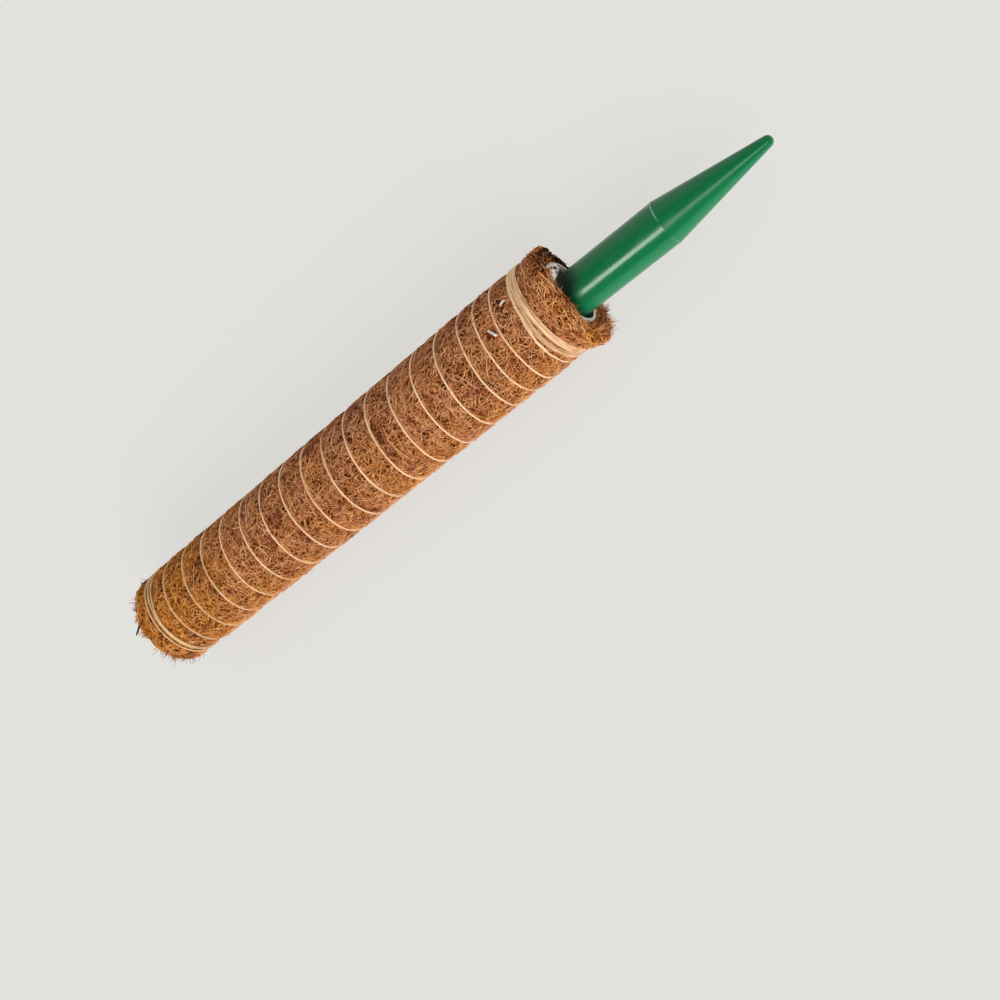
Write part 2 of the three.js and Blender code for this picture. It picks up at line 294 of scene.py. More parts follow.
class GeometryGraph(Graph):
    """Geometry Nodes tree with named inputs and one geometry output."""

    def __init__(self, name: str, *sizes: str) -> None:
        """Makes the tree and its inputs.

        Args:
            name: Name of the tree.
            sizes: Numbers that it takes beside the geometry, the seed and the finish.
        """
        super().__init__(bpy.data.node_groups.new(name, "GeometryNodeTree"))
        kinds = {"Geometry": SocketKind.GEOMETRY, "Seed": SocketKind.WHOLE,
                 "Finish": SocketKind.FINISH, **dict.fromkeys(sizes, SocketKind.NUMBER)}
        for label, kind in kinds.items():
            self.tree.interface.new_socket(label, in_out="INPUT", socket_type=kind.value)
        self.tree.interface.new_socket("Geometry", in_out="OUTPUT",
                                       socket_type=SocketKind.GEOMETRY.value)

    def given(self, name: str) -> Wire:
        """Input of the tree."""
        return self.add("NodeGroupInput", {}, {}, name)

    def chance(self, low: Any, high: Any, salt: int, identity: Wire | None = None) -> Wire:
        """Random number from the tree's seed.

        Args:
            low: Smallest number.
            high: Largest number.
            salt: Whole number that tells the draws of one tree apart.
            identity: What has one number of its own; the element itself if left out.

        Returns:
            The number.
        """
        inputs = {"Min_001": low, "Max_001": high, "Seed": self.given("Seed") + salt}
        if identity is not None:
            inputs["ID"] = identity
        return self.add("FunctionNodeRandomValue", {"data_type": "FLOAT"}, inputs, "Value_001")

    def strand(self) -> Wire:
        """Number of the strand that a point belongs to."""
        return self.add("GeometryNodeCurveOfPoint", {}, {}, "Curve Index")

    def here(self) -> Wire:
        """Position of a point."""
        return self.add("GeometryNodeInputPosition")

    def moved(self, geometry: Wire, position: Wire) -> Wire:
        """Geometry with its points at new positions."""
        return self.add("GeometryNodeSetPosition", {},
                        {"Geometry": geometry, "Position": position})

    def drift(self, scale: float, detail: float, salt: int) -> Wire:
        """Noise vector that differs from strand to strand, round zero.

        Args:
            scale: Scale of the noise.
            detail: Detail of the noise.
            salt: Whole number that tells the draws of one tree apart.

        Returns:
            The vector.
        """
        shift = self.chance(0.0, 900.0, salt, self.strand())
        colour = self.add("ShaderNodeTexNoise", {"noise_dimensions": "4D"},
                          {"Vector": self.here(), "W": shift, "Scale": scale,
                           "Detail": detail}, "Color")
        return self.vector("SUBTRACT", colour, (0.5, 0.5, 0.5))

    def keep(self, geometry: Wire, name: str, value: Wire) -> Wire:
        """Geometry with a named value on its points."""
        return self.add("GeometryNodeStoreNamedAttribute",
                        {"data_type": "FLOAT", "domain": "POINT"},
                        {"Geometry": geometry, "Name": name, "Value": value})

    def kept(self, name: str) -> Wire:
        """Named value of a point."""
        return self.add("GeometryNodeInputNamedAttribute", {"data_type": "FLOAT"},
                        {"Name": name}, "Attribute")

    def tube(self, strands: Wire, girth: Wire, sides: int, tint: Wire, warmth: Wire) -> Wire:
        """Tubes along strands, with their tint and warmth as the map that the finish reads.

        Args:
            strands: Curves to follow.
            girth: Radius of a tube.
            sides: Sides of a tube.
            tint: Shade from dark to light, from zero to one.
            warmth: Hue from reddish to golden, from zero to one.

        Returns:
            The tubes' mesh.
        """
        strands = self.keep(self.keep(strands, "tint", tint), "warmth", warmth)
        outline = self.add("GeometryNodeCurvePrimitiveCircle", {"mode": "RADIUS"},
                           {"Resolution": sides, "Radius": 1.0}, "Curve")
        mesh = self.add("GeometryNodeCurveToMesh", {},
                        {"Curve": strands, "Profile Curve": outline, "Scale": girth})
        across = self.kept("tint") + self.chance(-MAP_SPREAD, MAP_SPREAD, 91)
        along = self.kept("warmth") + self.chance(-MAP_SPREAD, MAP_SPREAD, 92)
        spot = self.combine(self._inside(across), self._inside(along), 0.0)
        mesh = self.add("GeometryNodeStoreNamedAttribute",
                        {"data_type": "FLOAT2", "domain": "CORNER"},
                        {"Geometry": mesh, "Name": BAKE_UV, "Value": spot})
        for name in ("tint", "warmth"):
            mesh = self.add("GeometryNodeRemoveAttribute", {}, {"Geometry": mesh, "Name": name})
        return mesh

    @staticmethod
    def _inside(value: Wire) -> Wire:
        """Value held inside the map."""
        return value.at_least(MAP_EDGE).at_most(1.0 - MAP_EDGE)

    def spots(self, where: Wire) -> Wire:
        """Chance points on the tree's mesh, where a value isn't zero."""
        return self.add("GeometryNodeDistributePointsOnFaces", {"distribute_method": "RANDOM"},
                        {"Mesh": self.given("Geometry"), "Selection": where,
                         "Density": self.given("Density"), "Seed": self.given("Seed")}, "Points")

    def turned(self, rotation: Wire, axis: Direction, angle: Wire) -> Wire:
        """Rotation that is turned further about one of its own axes."""
        step = self.add("FunctionNodeAxisAngleToRotation", {}, {"Axis": axis, "Angle": angle})
        return self.add("FunctionNodeRotateRotation", {"rotation_space": "LOCAL"},
                        {"Rotation": rotation, "Rotate By": step})

    def strands(self, spots: Wire, rotation: Wire, scale: Wire,
                ends: tuple[Direction, Direction], count: int) -> Wire:
        """Straight strands, one on each point.

        Args:
            spots: The points.
            rotation: Rotation of a strand.
            scale: Size of a strand along its own axes.
            ends: Start and end of the strand before it is turned and scaled.
            count: Points of a strand.

        Returns:
            The strands, as curves of their own.
        """
        line = self.add("GeometryNodeCurvePrimitiveLine", {"mode": "POINTS"},
                        {"Start": ends[0], "End": ends[1]}, "Curve")
        line = self.add("GeometryNodeResampleCurve", {"mode": "COUNT"},
                        {"Curve": line, "Count": count})
        strands = self.add("GeometryNodeInstanceOnPoints", {},
                           {"Points": spots, "Instance": line, "Rotation": rotation,
                            "Scale": scale})
        return self.add("GeometryNodeRealizeInstances", {}, {"Geometry": strands})

    def close(self, mesh: Wire) -> bpy.types.NodeTree:
        """Ends the tree with smooth, realised geometry in its finish.

        Args:
            mesh: Geometry to end with.

        Returns:
            The tree.
        """
        mesh = self.add("GeometryNodeSetShadeSmooth", {}, {"Geometry": mesh})
        mesh = self.add("GeometryNodeRealizeInstances", {}, {"Geometry": mesh})
        mesh = self.add("GeometryNodeSetMaterial", {},
                        {"Geometry": mesh, "Material": self.given("Finish")})
        self.add("NodeGroupOutput", {}, {"Geometry": mesh})
        return self.tree


@dataclass(frozen=True)
class PoleFrame:
    """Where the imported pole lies."""

    mouth_x: float
    far_x: float
    axis_z: float

    @classmethod
    def of_pipe(cls, inset: float = 0.5 * MM) -> "PoleFrame":
        """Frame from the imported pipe, which ends a little inside the mat."""
        low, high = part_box("core_pipe")
        return cls(high.x + inset, low.x - inset, (low.z + high.z) / 2)

    @property
    def length(self) -> float:
        """Length of the mat."""
        return self.mouth_x - self.far_x

    def point(self, radius: float, angle: float, distance: float) -> Vector:
        """Point round the pole.

        Args:
            radius: Distance from the axis.
            angle: Angle from straight up towards the front.
            distance: Distance from the mouth towards the far end.

        Returns:
            The point.
        """
        y = -radius * math.sin(angle)
        z = self.axis_z + radius * math.cos(angle)
        return Vector((self.mouth_x - distance, y, z))


@dataclass(frozen=True)
class Winding:
    """Course of the binding twine, counted in turns from the mouth."""

    seam: float = math.radians(-75.0)
    first: float = 10.5 * MM
    stages: tuple[Span, ...] = (
        (1.0, 1.2 * MM),
        (1.0, 1.6 * MM),
        (1.0, 1.1 * MM),
        (0.25, 1.5 * MM),
        (0.75, 15.23 * MM),
        (2.25, 10.3 * MM),
        (14.0, 15.536 * MM),
        (1.0, 10.9 * MM),
        (1.0, 0.7 * MM),
        (1.75, 2.65 * MM),
    )
    wobble: float = 0.65 * MM
    wobble_rate: float = 7.3
    band_turns: float = 3.25
    band_calm: float = 0.7
    tail_turns: float = 3.5
    tail_calm: float = 0.75
    band_middle: float = 12.5 * MM
    gather: float = 0.22
    widest: float = math.radians(80.0)
    lean: float = 1.3 * MM
    lean_angle: float = math.radians(-30.0)
    slit: float = 1.3 * MM
    slit_turn: float = 1.75
    slit_angle: float = math.radians(42.0)
    slit_reach: float = math.radians(35.0)
    steady: float = 0.2
    stepped: float = 0.8

    @property
    def turns(self) -> int:
        """Whole number of turns."""
        return round(sum(turns for turns, _ in self.stages))

    def angle(self, turn: float) -> float:
        """Angle round the pole after a number of turns."""
        return self.seam + math.tau * turn

    def distance(self, turn: float) -> float:
        """Distance from the mouth after a number of turns.

        Args:
            turn: Number of turns.

        Returns:
            The distance, with the wobble of the winding and the lean and spread of its first band.
        """
        distance = self.first
        left = self._eased(turn)
        for turns, pitch in self.stages:
            part = min(left, turns)
            distance += part * pitch
            left -= part
        sway = noise.noise(Vector((turn * self.wobble_rate, 3.7, 1.9)))
        sway *= 1.0 - self.tail_calm * clamped(turn - self.turns + self.tail_turns)
        if turn < self.band_turns + 1.0:
            weight = min(1.0, self.band_turns + 1.0 - turn)
            spread = self.gather * weight * math.cos(self.angle(turn) - self.widest)
            distance += spread * (distance - self.band_middle)
            distance += self._parting(turn)
            leaning = 0.5 + 0.5 * math.cos(self.angle(turn) - self.lean_angle)
            distance += self.lean * weight * leaning
            sway *= 1.0 - self.band_calm * weight
        return distance + self.wobble * sway

    def _eased(self, turn: float) -> float:
        """Turns of advance: in the band the twine steps on mostly at the back.

        Args:
            turn: Number of turns.

        Returns:
            The turns that count for the advance along the pole.
        """
        whole = math.floor(turn)
        if turn > self.band_turns - 0.25:
            return turn
        share = turn - whole
        behind = clamped((share - 0.5) / 0.5)
        return whole + self.steady * share + self.stepped * behind * behind * (3.0 - 2.0 * behind)

    def _parting(self, turn: float) -> float:
        """Shift of the band's later turns, which leaves a slit at the front.

        Args:
            turn: Number of turns.

        Returns:
            The shift along the pole.
        """
        round_off = turned_from(self.angle(turn), self.slit_angle)
        later = clamped((turn - self.slit_turn) / 0.25)
        leaving = clamped((self.band_turns + 0.5 - turn) / 0.5)
        return self.slit * later * leaving * bell(round_off, self.slit_reach)

    def flatness(self, turn: float) -> float:
        """One in the band at the mouth, where the twine lies slack and flat, and zero past it."""
        return clamped((self.band_turns + 0.3 - turn) / 0.6)

    def crossings(self, angle: float) -> list[float]:
        """Distances from the mouth at which the twine crosses a line along the pole."""
        share = ((angle - self.seam) / math.tau) % 1.0
        return [self.distance(turn + share) for turn in range(self.turns)]


@dataclass(frozen=True)
class Finish:
    """Finish of a surface; each kind draws its own nodes."""

    name: str

    def shader(self, graph: Graph) -> Wire:
        """Draws the nodes of the finish and returns the shader."""
        raise NotImplementedError

    def material(self) -> bpy.types.Material:
        """Material with this finish, made on its first use.

        Returns:
            The material.
        """
        known = bpy.data.materials.get(self.name)
        if known:
            return known
        material = bpy.data.materials.new(self.name)
        material.use_nodes = True
        material.node_tree.nodes.clear()
        graph = Graph(material.node_tree)
        graph.add("ShaderNodeOutputMaterial", {}, {"Surface": self.shader(graph)})
        return material

    @staticmethod
    def surface(graph: Graph, **inputs: Any) -> Wire:
        """Principled shader, with underscores for the spaces in its sockets' names."""
        sockets = {name.replace("_", " "): value for name, value in inputs.items()}
        return graph.add("ShaderNodeBsdfPrincipled", {}, sockets)


@dataclass(frozen=True)
class StrandFinish(Finish):
    """Plant fibre whose shade and hue come from the map on its tubes."""

    ruddy: tuple[tuple[float, Colour], ...]
    golden: tuple[tuple[float, Colour], ...]
    gloss: float
    roughness: float = 0.62

    def shader(self, graph: Graph) -> Wire:
        """Shade across the map's first axis, hue across its second.

        Args:
            graph: The material's tree.

        Returns:
            The shader.
        """
        spot = graph.add("ShaderNodeUVMap", {"uv_map": BAKE_UV})
        shade, hue, _ = graph.split(spot)
        colour = graph.blend(hue, graph.ramp(shade, *self.ruddy), graph.ramp(shade, *self.golden))
        rough = self.roughness + 0.25 * (1.0 - shade)
        return self.surface(graph, Base_Color=colour, Roughness=rough,
                            Specular_IOR_Level=self.gloss)


@dataclass(frozen=True)
class MatDepthFinish(Finish):
    """Dark inside of the matted fibre, which shows between its top fibres."""

    deep: Colour
    pale: Colour
    layer: Colour
    axis_z: float
    outside: float
    shaded: Colour = (0.018, 0.009, 0.005)
    layer_pitch: float = 2.9 * MM
    cover: Span = (2.2 * MM, 1.0 * MM)
    back: Span = (2.0 * MM, 12.0 * MM)
    relief: float = 0.6 * MM

    def shader(self, graph: Graph) -> Wire:
        """Mottled brown with a matted relief, and greyer layers in the cut ends.

        Args:
            graph: The material's tree.

        Returns:
            The shader.
        """
        place = graph.place()
        _, y, _ = graph.split(place)
        radius = graph.length(graph.outward(place, self.axis_z))
        waves = radius * (math.tau / self.layer_pitch) + 4.0 * graph.cloud(place, 130.0)
        layers = graph.smooth(graph.math("SINE", waves), 0.1, 0.8)
        inner = graph.falling(radius, *(self.outside - depth for depth in self.cover))
        behind = inner * graph.smooth(y, *self.back)
        patches = graph.cloud(place, 140.0, 3.0)
        grain = graph.cloud(place, 1500.0, 4.0, 0.65)
        mottle = graph.smooth(patches * 0.4 + grain * 0.6, 0.38, 0.66)
        colour = graph.blend(mottle, self.deep, self.pale)
        colour = graph.blend(behind * 0.8, colour, self.shaded)
        colour = graph.blend(layers * inner * 0.7, colour, self.layer)
        return self.surface(graph, Base_Color=colour, Roughness=0.85 + 0.1 * grain,
                            Specular_IOR_Level=0.05,
                            Normal=graph.raised(grain, self.relief))


@dataclass(frozen=True)
class MouldedFinish(Finish):
    """Semi-gloss moulded plastic with faint flow marks and rubbed places."""

    body: Colour
    rubbed: Colour
    painted_shade: Colour
    painted_lit_side: Colour
    flash: Colour
    foot_x: float
    ring_x: float
    painted_shade_reach: Span = (7.0 * MM, 17.0 * MM)
    ring_half: Span = (0.2 * MM, 0.5 * MM)
    relief: float = 0.02 * MM
    roughness: float = 0.17

    def shader(self, graph: Graph) -> Wire:
        """Cloudy flow and fine scratches, painted shade at the foot, painted light on the front side
        and a pale, broken parting ring.

        Args:
            graph: The material's tree.

        Returns:
            The shader.
        """
        place = graph.place()
        x, y, z = graph.split(place)
        flow = graph.cloud(graph.combine(x * 0.25, y, z), 160.0, 3.0)
        scratch = graph.cloud(graph.combine(x * 0.06, y, z), 2600.0, 2.0)
        worn = graph.smooth(scratch * 0.4 + flow * 0.6, 0.56, 0.74)
        level = x + 0.65 * (-1.0 * y).at_least(0.0) + 0.006 * flow
        # Painted shade: darker towards the foot, where the mat shades the shank; it reaches less far
        # along the front, and the foot is rougher too.
        darkening = graph.falling(level, *(self.foot_x + reach for reach in self.painted_shade_reach))
        _, side, _ = graph.split(graph.add("ShaderNodeTexCoord", {}, {}, "Normal"))
        # Painted light: the green is lighter on the front side, where the light falls.
        weight = graph.smooth(-1.0 * side, 0.68, 0.97)
        aside = graph.math("ABSOLUTE", x - self.ring_x)
        ring = graph.falling(aside, *self.ring_half)
        dots = graph.smooth(graph.cloud(place, 420.0, 2.0), 0.46, 0.6)
        ring = ring * (graph.smooth(side, -0.2, 0.25) + 0.45 * dots).at_most(1.0)
        colour = graph.blend(worn * 0.25, self.body, self.rubbed)
        colour = graph.blend(weight, colour, self.painted_lit_side)
        colour = graph.blend(darkening * 0.97, colour, self.painted_shade)
        colour = graph.blend(ring, colour, self.flash)
        rough = self.roughness + 0.06 * graph.smooth(flow, 0.35, 0.7) + 0.12 * worn + 0.4 * darkening
        uneven = scratch * 0.2 + graph.cloud(place, 300.0, 2.0) * 0.8
        return self.surface(graph, Base_Color=colour, Roughness=rough, Specular_IOR_Level=0.36,
                            Normal=graph.raised(uneven, self.relief))


@dataclass(frozen=True)
class PipeFinish(Finish):
    """Extruded white pipe, dusty, with painted shade in its bore and scuffed on its sawn rim."""

    clean: Colour
    dusty: Colour
    painted_shade: Colour
    axis_z: float
    bore: float
    bore_edge: Span = (0.05 * MM, 0.4 * MM)
    relief: float = 0.02 * MM

    def shader(self, graph: Graph) -> Wire:
        """Off-white with dust clouds and lines along the extrusion, and painted shade in the bore,
        patchy with the dust.

        Args:
            graph: The material's tree.

        Returns:
            The shader.
        """
        place = graph.place()
        x, y, z = graph.split(place)
        radius = graph.length(graph.outward(place, self.axis_z))
        # Painted shade: the bore's wall is darkened, patchy with the dust.
        inside = graph.falling(radius, *(self.bore + edge for edge in self.bore_edge))
        dust = graph.smooth(graph.cloud(place, 210.0, 4.0), 0.42, 0.66)
        lines = graph.cloud(graph.combine(x * 0.03, y, z), 1800.0, 2.0)
        darkening = (dust * 0.75 + lines * 0.25).at_most(1.0)
        colour = graph.blend(darkening, self.clean, self.dusty)
        colour = graph.blend(inside * (0.7 + 0.3 * dust), colour, self.painted_shade)
        return self.surface(graph, Base_Color=colour, Roughness=0.42 + 0.3 * dust,
                            Normal=graph.raised(lines, self.relief))


@dataclass(frozen=True)
class GlueFinish(Finish):
    """Set hot-melt glue: waxy, cloudy and dusted with fibre crumbs."""

    wax: Colour
    stain_and_shade: Colour
    face_x: float
    axis_z: float
    pits: tuple[tuple[Vector, float], ...]
    pit_axis: Direction = (0.34, -0.32, 0.885)
    pit_edge: Span = (0.6, 1.15)
    shade_level: Span = (-0.5 * MM, 2.5 * MM)
    shade_depth: Span = (2.0 * MM, 0.3 * MM)
    relief: float = 0.12 * MM

    def shader(self, graph: Graph) -> Wire:
        """Waxy body with stains and specks, and painted shade below, deeper in and in its air holes.

        Args:
            graph: The material's tree.

        Returns:
            The shader.
        """
        place = graph.place()
        # Painted shade: the air holes are painted black, as columns along a fixed axis.
        hole_shade = graph.largest([self._pit(graph, *pit) for pit in self.pits])
        x, _, z = graph.split(place)
        # Painted shade: darker below the axis and deeper in the pipe, where the glue lies in shadow.
        low = graph.falling(z - self.axis_z, *self.shade_level)
        deep = graph.falling(x, *(self.face_x - depth for depth in self.shade_depth))
        deep = deep.at_least(0.75 * low)
        stain = graph.smooth(graph.cloud(place, 330.0, 3.0), 0.45, 0.7)
        speck = graph.smooth(graph.cloud(place, 620.0, 2.0), 0.55, 0.66)
        colour = graph.blend((stain * 0.25 + speck * 0.35 + deep * 0.95 + hole_shade).at_most(1.0),
                             self.wax, self.stain_and_shade)
        return self.surface(graph, Base_Color=colour, Roughness=0.32 + 0.35 * stain,
                            Normal=graph.raised(graph.cloud(place, 900.0, 2.0), self.relief))

    def _pit(self, graph: Graph, middle: Vector, radius: float) -> Wire:
        """One in an air hole, whose painted shade runs through the glue as a column along the holes'
        axis.

        Args:
            graph: The material's tree.
            middle: Middle of the hole.
            radius: Radius of the hole.

        Returns:
            The value, which is zero away from the hole.
        """
        away = graph.vector("SUBTRACT", graph.place(), tuple(middle))
        gap = graph.length(graph.vector("CROSS_PRODUCT", away, self.pit_axis))
        return graph.falling(gap, *(radius * edge for edge in self.pit_edge))


@dataclass(frozen=True)
class WireFinish(Finish):
    """Drawn galvanised wire."""

    bright: Colour
    dull: Colour

    def shader(self, graph: Graph) -> Wire:
        """Bright zinc with dull spangles and drawing lines.

        Args:
            graph: The material's tree.

        Returns:
            The shader.
        """
        place = graph.place()
        spangle = graph.smooth(graph.cloud(place, 1400.0, 2.0), 0.4, 0.65)
        colour = graph.blend(spangle, self.bright, self.dull)
        return self.surface(graph, Base_Color=colour, Metallic=0.5 - 0.15 * spangle,
                            Roughness=0.3 + 0.22 * spangle)


@dataclass(frozen=True)
class FloorFinish(Finish):
    """Pale sweep that stays even to the eye and takes a soft part of the shadow."""

    colour: Colour
    evenness: float

    def shader(self, graph: Graph) -> Wire:
        """Matte sweep, with an even glow for the rays that show the background.

        Args:
            graph: The material's tree.

        Returns:
            The shader.
        """
        matte = graph.add("ShaderNodeBsdfDiffuse", {}, {"Color": graph.opaque(self.colour)})
        glow = graph.add("ShaderNodeEmission", {}, {"Color": graph.opaque(self.colour)})
        return graph.add("ShaderNodeMixShader", {},
                         {0: graph.seen() * self.evenness, 1: matte, 2: glow})


COIR_FIBRE = StrandFinish(
    name="coir_fibre",
    ruddy=(
        (0.0, (0.06, 0.011, 0.001)),
        (0.35, (0.28, 0.071, 0.019)),
        (0.65, (0.57, 0.230, 0.118)),
        (1.0, (0.87, 0.485, 0.28)),
    ),
    golden=(
        (0.0, (0.075, 0.016, 0.001)),
        (0.35, (0.30, 0.073, 0.002)),
        (0.65, (0.62, 0.214, 0.022)),
        (1.0, (0.91, 0.465, 0.105)),
    ),
    gloss=0.04,
)
JUTE = StrandFinish(
    name="jute_fibre",
    ruddy=(
        (0.0, (0.36, 0.18, 0.07)),
        (0.5, (0.76, 0.46, 0.26)),
        (1.0, (0.95, 0.66, 0.45)),
    ),
    golden=(
        (0.0, (0.42, 0.24, 0.095)),
        (0.5, (0.80, 0.53, 0.26)),
        (1.0, (0.95, 0.74, 0.46)),
    ),
    roughness=0.55,
    gloss=0.25,
)
STAPLE_STEEL = WireFinish("staple_wire", (0.94, 0.89, 0.83), (0.66, 0.61, 0.56))
PALE_FLOOR = FloorFinish("pale_floor", (0.768, 0.760, 0.730), 0.8)


def settle(piece: bpy.types.Object, slot: str, *nodes: str) -> None:
    """Puts a finished piece on the pole's body.

    Args:
        piece: The piece.
        slot: Material slot of the record that its finish belongs to.
        nodes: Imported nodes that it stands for.
    """
    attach(piece, BODY)
    if nodes:
        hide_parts(*nodes)
    triangles = sum(len(face.vertices) - 2 for face in piece.data.polygons)
    LOG.info("%s: %d triangles, slot %s", piece.name, triangles, slot)


def linked(name: str, mesh: bpy.types.Mesh) -> bpy.types.Object:
    """Object in the scene for a mesh.

    Args:
        name: Name of the object.
        mesh: Its mesh.

    Returns:
        The object.
    """
    piece = bpy.data.objects.new(name, mesh)
    bpy.context.scene.collection.objects.link(piece)
    return piece


def turned_mesh(name: str, columns: Sequence[Sequence[Vector]], finish: Finish,
                ring: bool, crease: float = 50.0) -> bpy.types.Object:
    """Piece from outlines that stand side by side all the way round.

    Args:
        name: Name of the piece.
        columns: Outlines with equal numbers of points, in order round the piece.
        finish: Finish of the piece.
        ring: True if each outline closes on itself, false if it starts and ends in a pole.
        crease: Angle in degrees past which an edge stays sharp.

    Returns:
        The piece, closed and with its faces outwards.
    """
    mesh = bpy.data.meshes.new(name)
    rows = len(columns[0])
    steps = rows if ring else rows - 1
    faces = []
    spots = []
    for j in range(len(columns)):
        start = j * rows
        after = (j + 1) % len(columns) * rows
        for i in range(steps):
            follow = (i + 1) % rows
            faces.append((start + i, start + follow, after + follow, after + i))
            u0, u1 = j / len(columns), (j + 1) / len(columns)
            v0, v1 = i / steps, (i + 1) / steps
            spots.extend((u0, v0, u0, v1, u1, v1, u1, v0))
    mesh.from_pydata([point for column in columns for point in column], [], faces)
    mesh.uv_layers.new(name=BAKE_UV).uv.foreach_set("vector", spots)
    work = bmesh.new()
    work.from_mesh(mesh)
    bmesh.ops.remove_doubles(work, verts=work.verts, dist=1e-7)
    if work.calc_volume(signed=True) < 0:
        bmesh.ops.reverse_faces(work, faces=work.faces)
    work.to_mesh(mesh)
    work.free()
    mesh.shade_smooth()
    mesh.set_sharp_from_angle(angle=math.radians(crease))
    mesh.materials.append(finish.material())
    return linked(name, mesh)


def realised(name: str, carrier: bpy.types.Object, tree: bpy.types.NodeTree,
             finish: Finish, **sizes: float) -> bpy.types.Object:
    """Plain piece from what a tree makes on a carrier.

    Args:
        name: Name of the piece.
        carrier: Object that the tree works on, which is left as it was.
        tree: Geometry Nodes tree.
        finish: Finish of the piece.
        sizes: Values of the tree's inputs, with underscores for spaces.

    Returns:
        The piece.
    """
    values = {label.replace("_", " "): value for label, value in sizes.items()}
    values["Finish"] = finish.material()
    modifier = carrier.modifiers.new(name, "NODES")
    modifier.node_group = tree
    for item in tree.interface.items_tree:
        if item.in_out == "INPUT" and item.name in values:
            modifier[item.identifier] = values[item.name]
    bpy.context.view_layer.update()
    graph = bpy.context.evaluated_depsgraph_get()
    mesh = bpy.data.meshes.new_from_object(carrier.evaluated_get(graph),
                                           preserve_all_data_layers=True, depsgraph=graph)
    carrier.modifiers.remove(modifier)
    mesh.name = name
    return linked(name, mesh)


def discard(helper: bpy.types.Object) -> None:
    """Removes a helper object and its mesh.

    Args:
        helper: The helper.
    """
    mesh = helper.data
    bpy.data.objects.remove(helper)
    bpy.data.meshes.remove(mesh)


@dataclass(frozen=True)
class HairTree:
    """Loose hairs that stand out of a surface."""

    points: int = 6
    root: float = -0.15

    def build(self) -> bpy.types.NodeTree:
        """Tree that plants hairs on a mesh and bends them.

        Returns:
            The tree.
        """
        graph = GeometryGraph(
            "loose_hairs", "Density", "Shortest", "Longest", "Least Tilt", "Most Tilt", "Bend",
            "Thinnest", "Thickest", "Darkest", "Palest", "Clump")
        clumps = graph.cloud(graph.here(), 330.0, 1.0).above(graph.given("Clump"))
        spots = graph.spots(clumps)
        turn = graph.turned(spots.out("Rotation"), (0.0, 0.0, 1.0), graph.chance(0.0, math.tau, 1))
        tilt = graph.chance(graph.given("Least Tilt"), graph.given("Most Tilt"), 2)
        turn = graph.turned(turn, (1.0, 0.0, 0.0), tilt)
        length = graph.chance(graph.given("Shortest"), graph.given("Longest"), 3)
        hairs = graph.strands(spots, turn, graph.combine(length, length, length),
                              ((0.0, 0.0, self.root), (0.0, 0.0, 1.0)), self.points)
        share = graph.add("GeometryNodeSplineParameter", {}, {}, "Factor")
        sway = graph.stretch(graph.drift(160.0, 1.0, 4), graph.given("Bend") * share)
        x, y, z = graph.split(graph.vector("ADD", graph.here(), sway))
        hairs = graph.moved(hairs, graph.combine(x, y, z.at_least(graph.given("Thickest"))))
        girth = graph.chance(graph.given("Thinnest"), graph.given("Thickest"), 5, graph.strand())
        tint = graph.chance(graph.given("Darkest"), graph.given("Palest"), 6, graph.strand())
        warmth = graph.chance(0.1, 0.9, 7, graph.strand())
        taper = girth * (1.0 - 0.65 * share)
        return graph.close(graph.tube(hairs, taper, 3, tint, warmth))


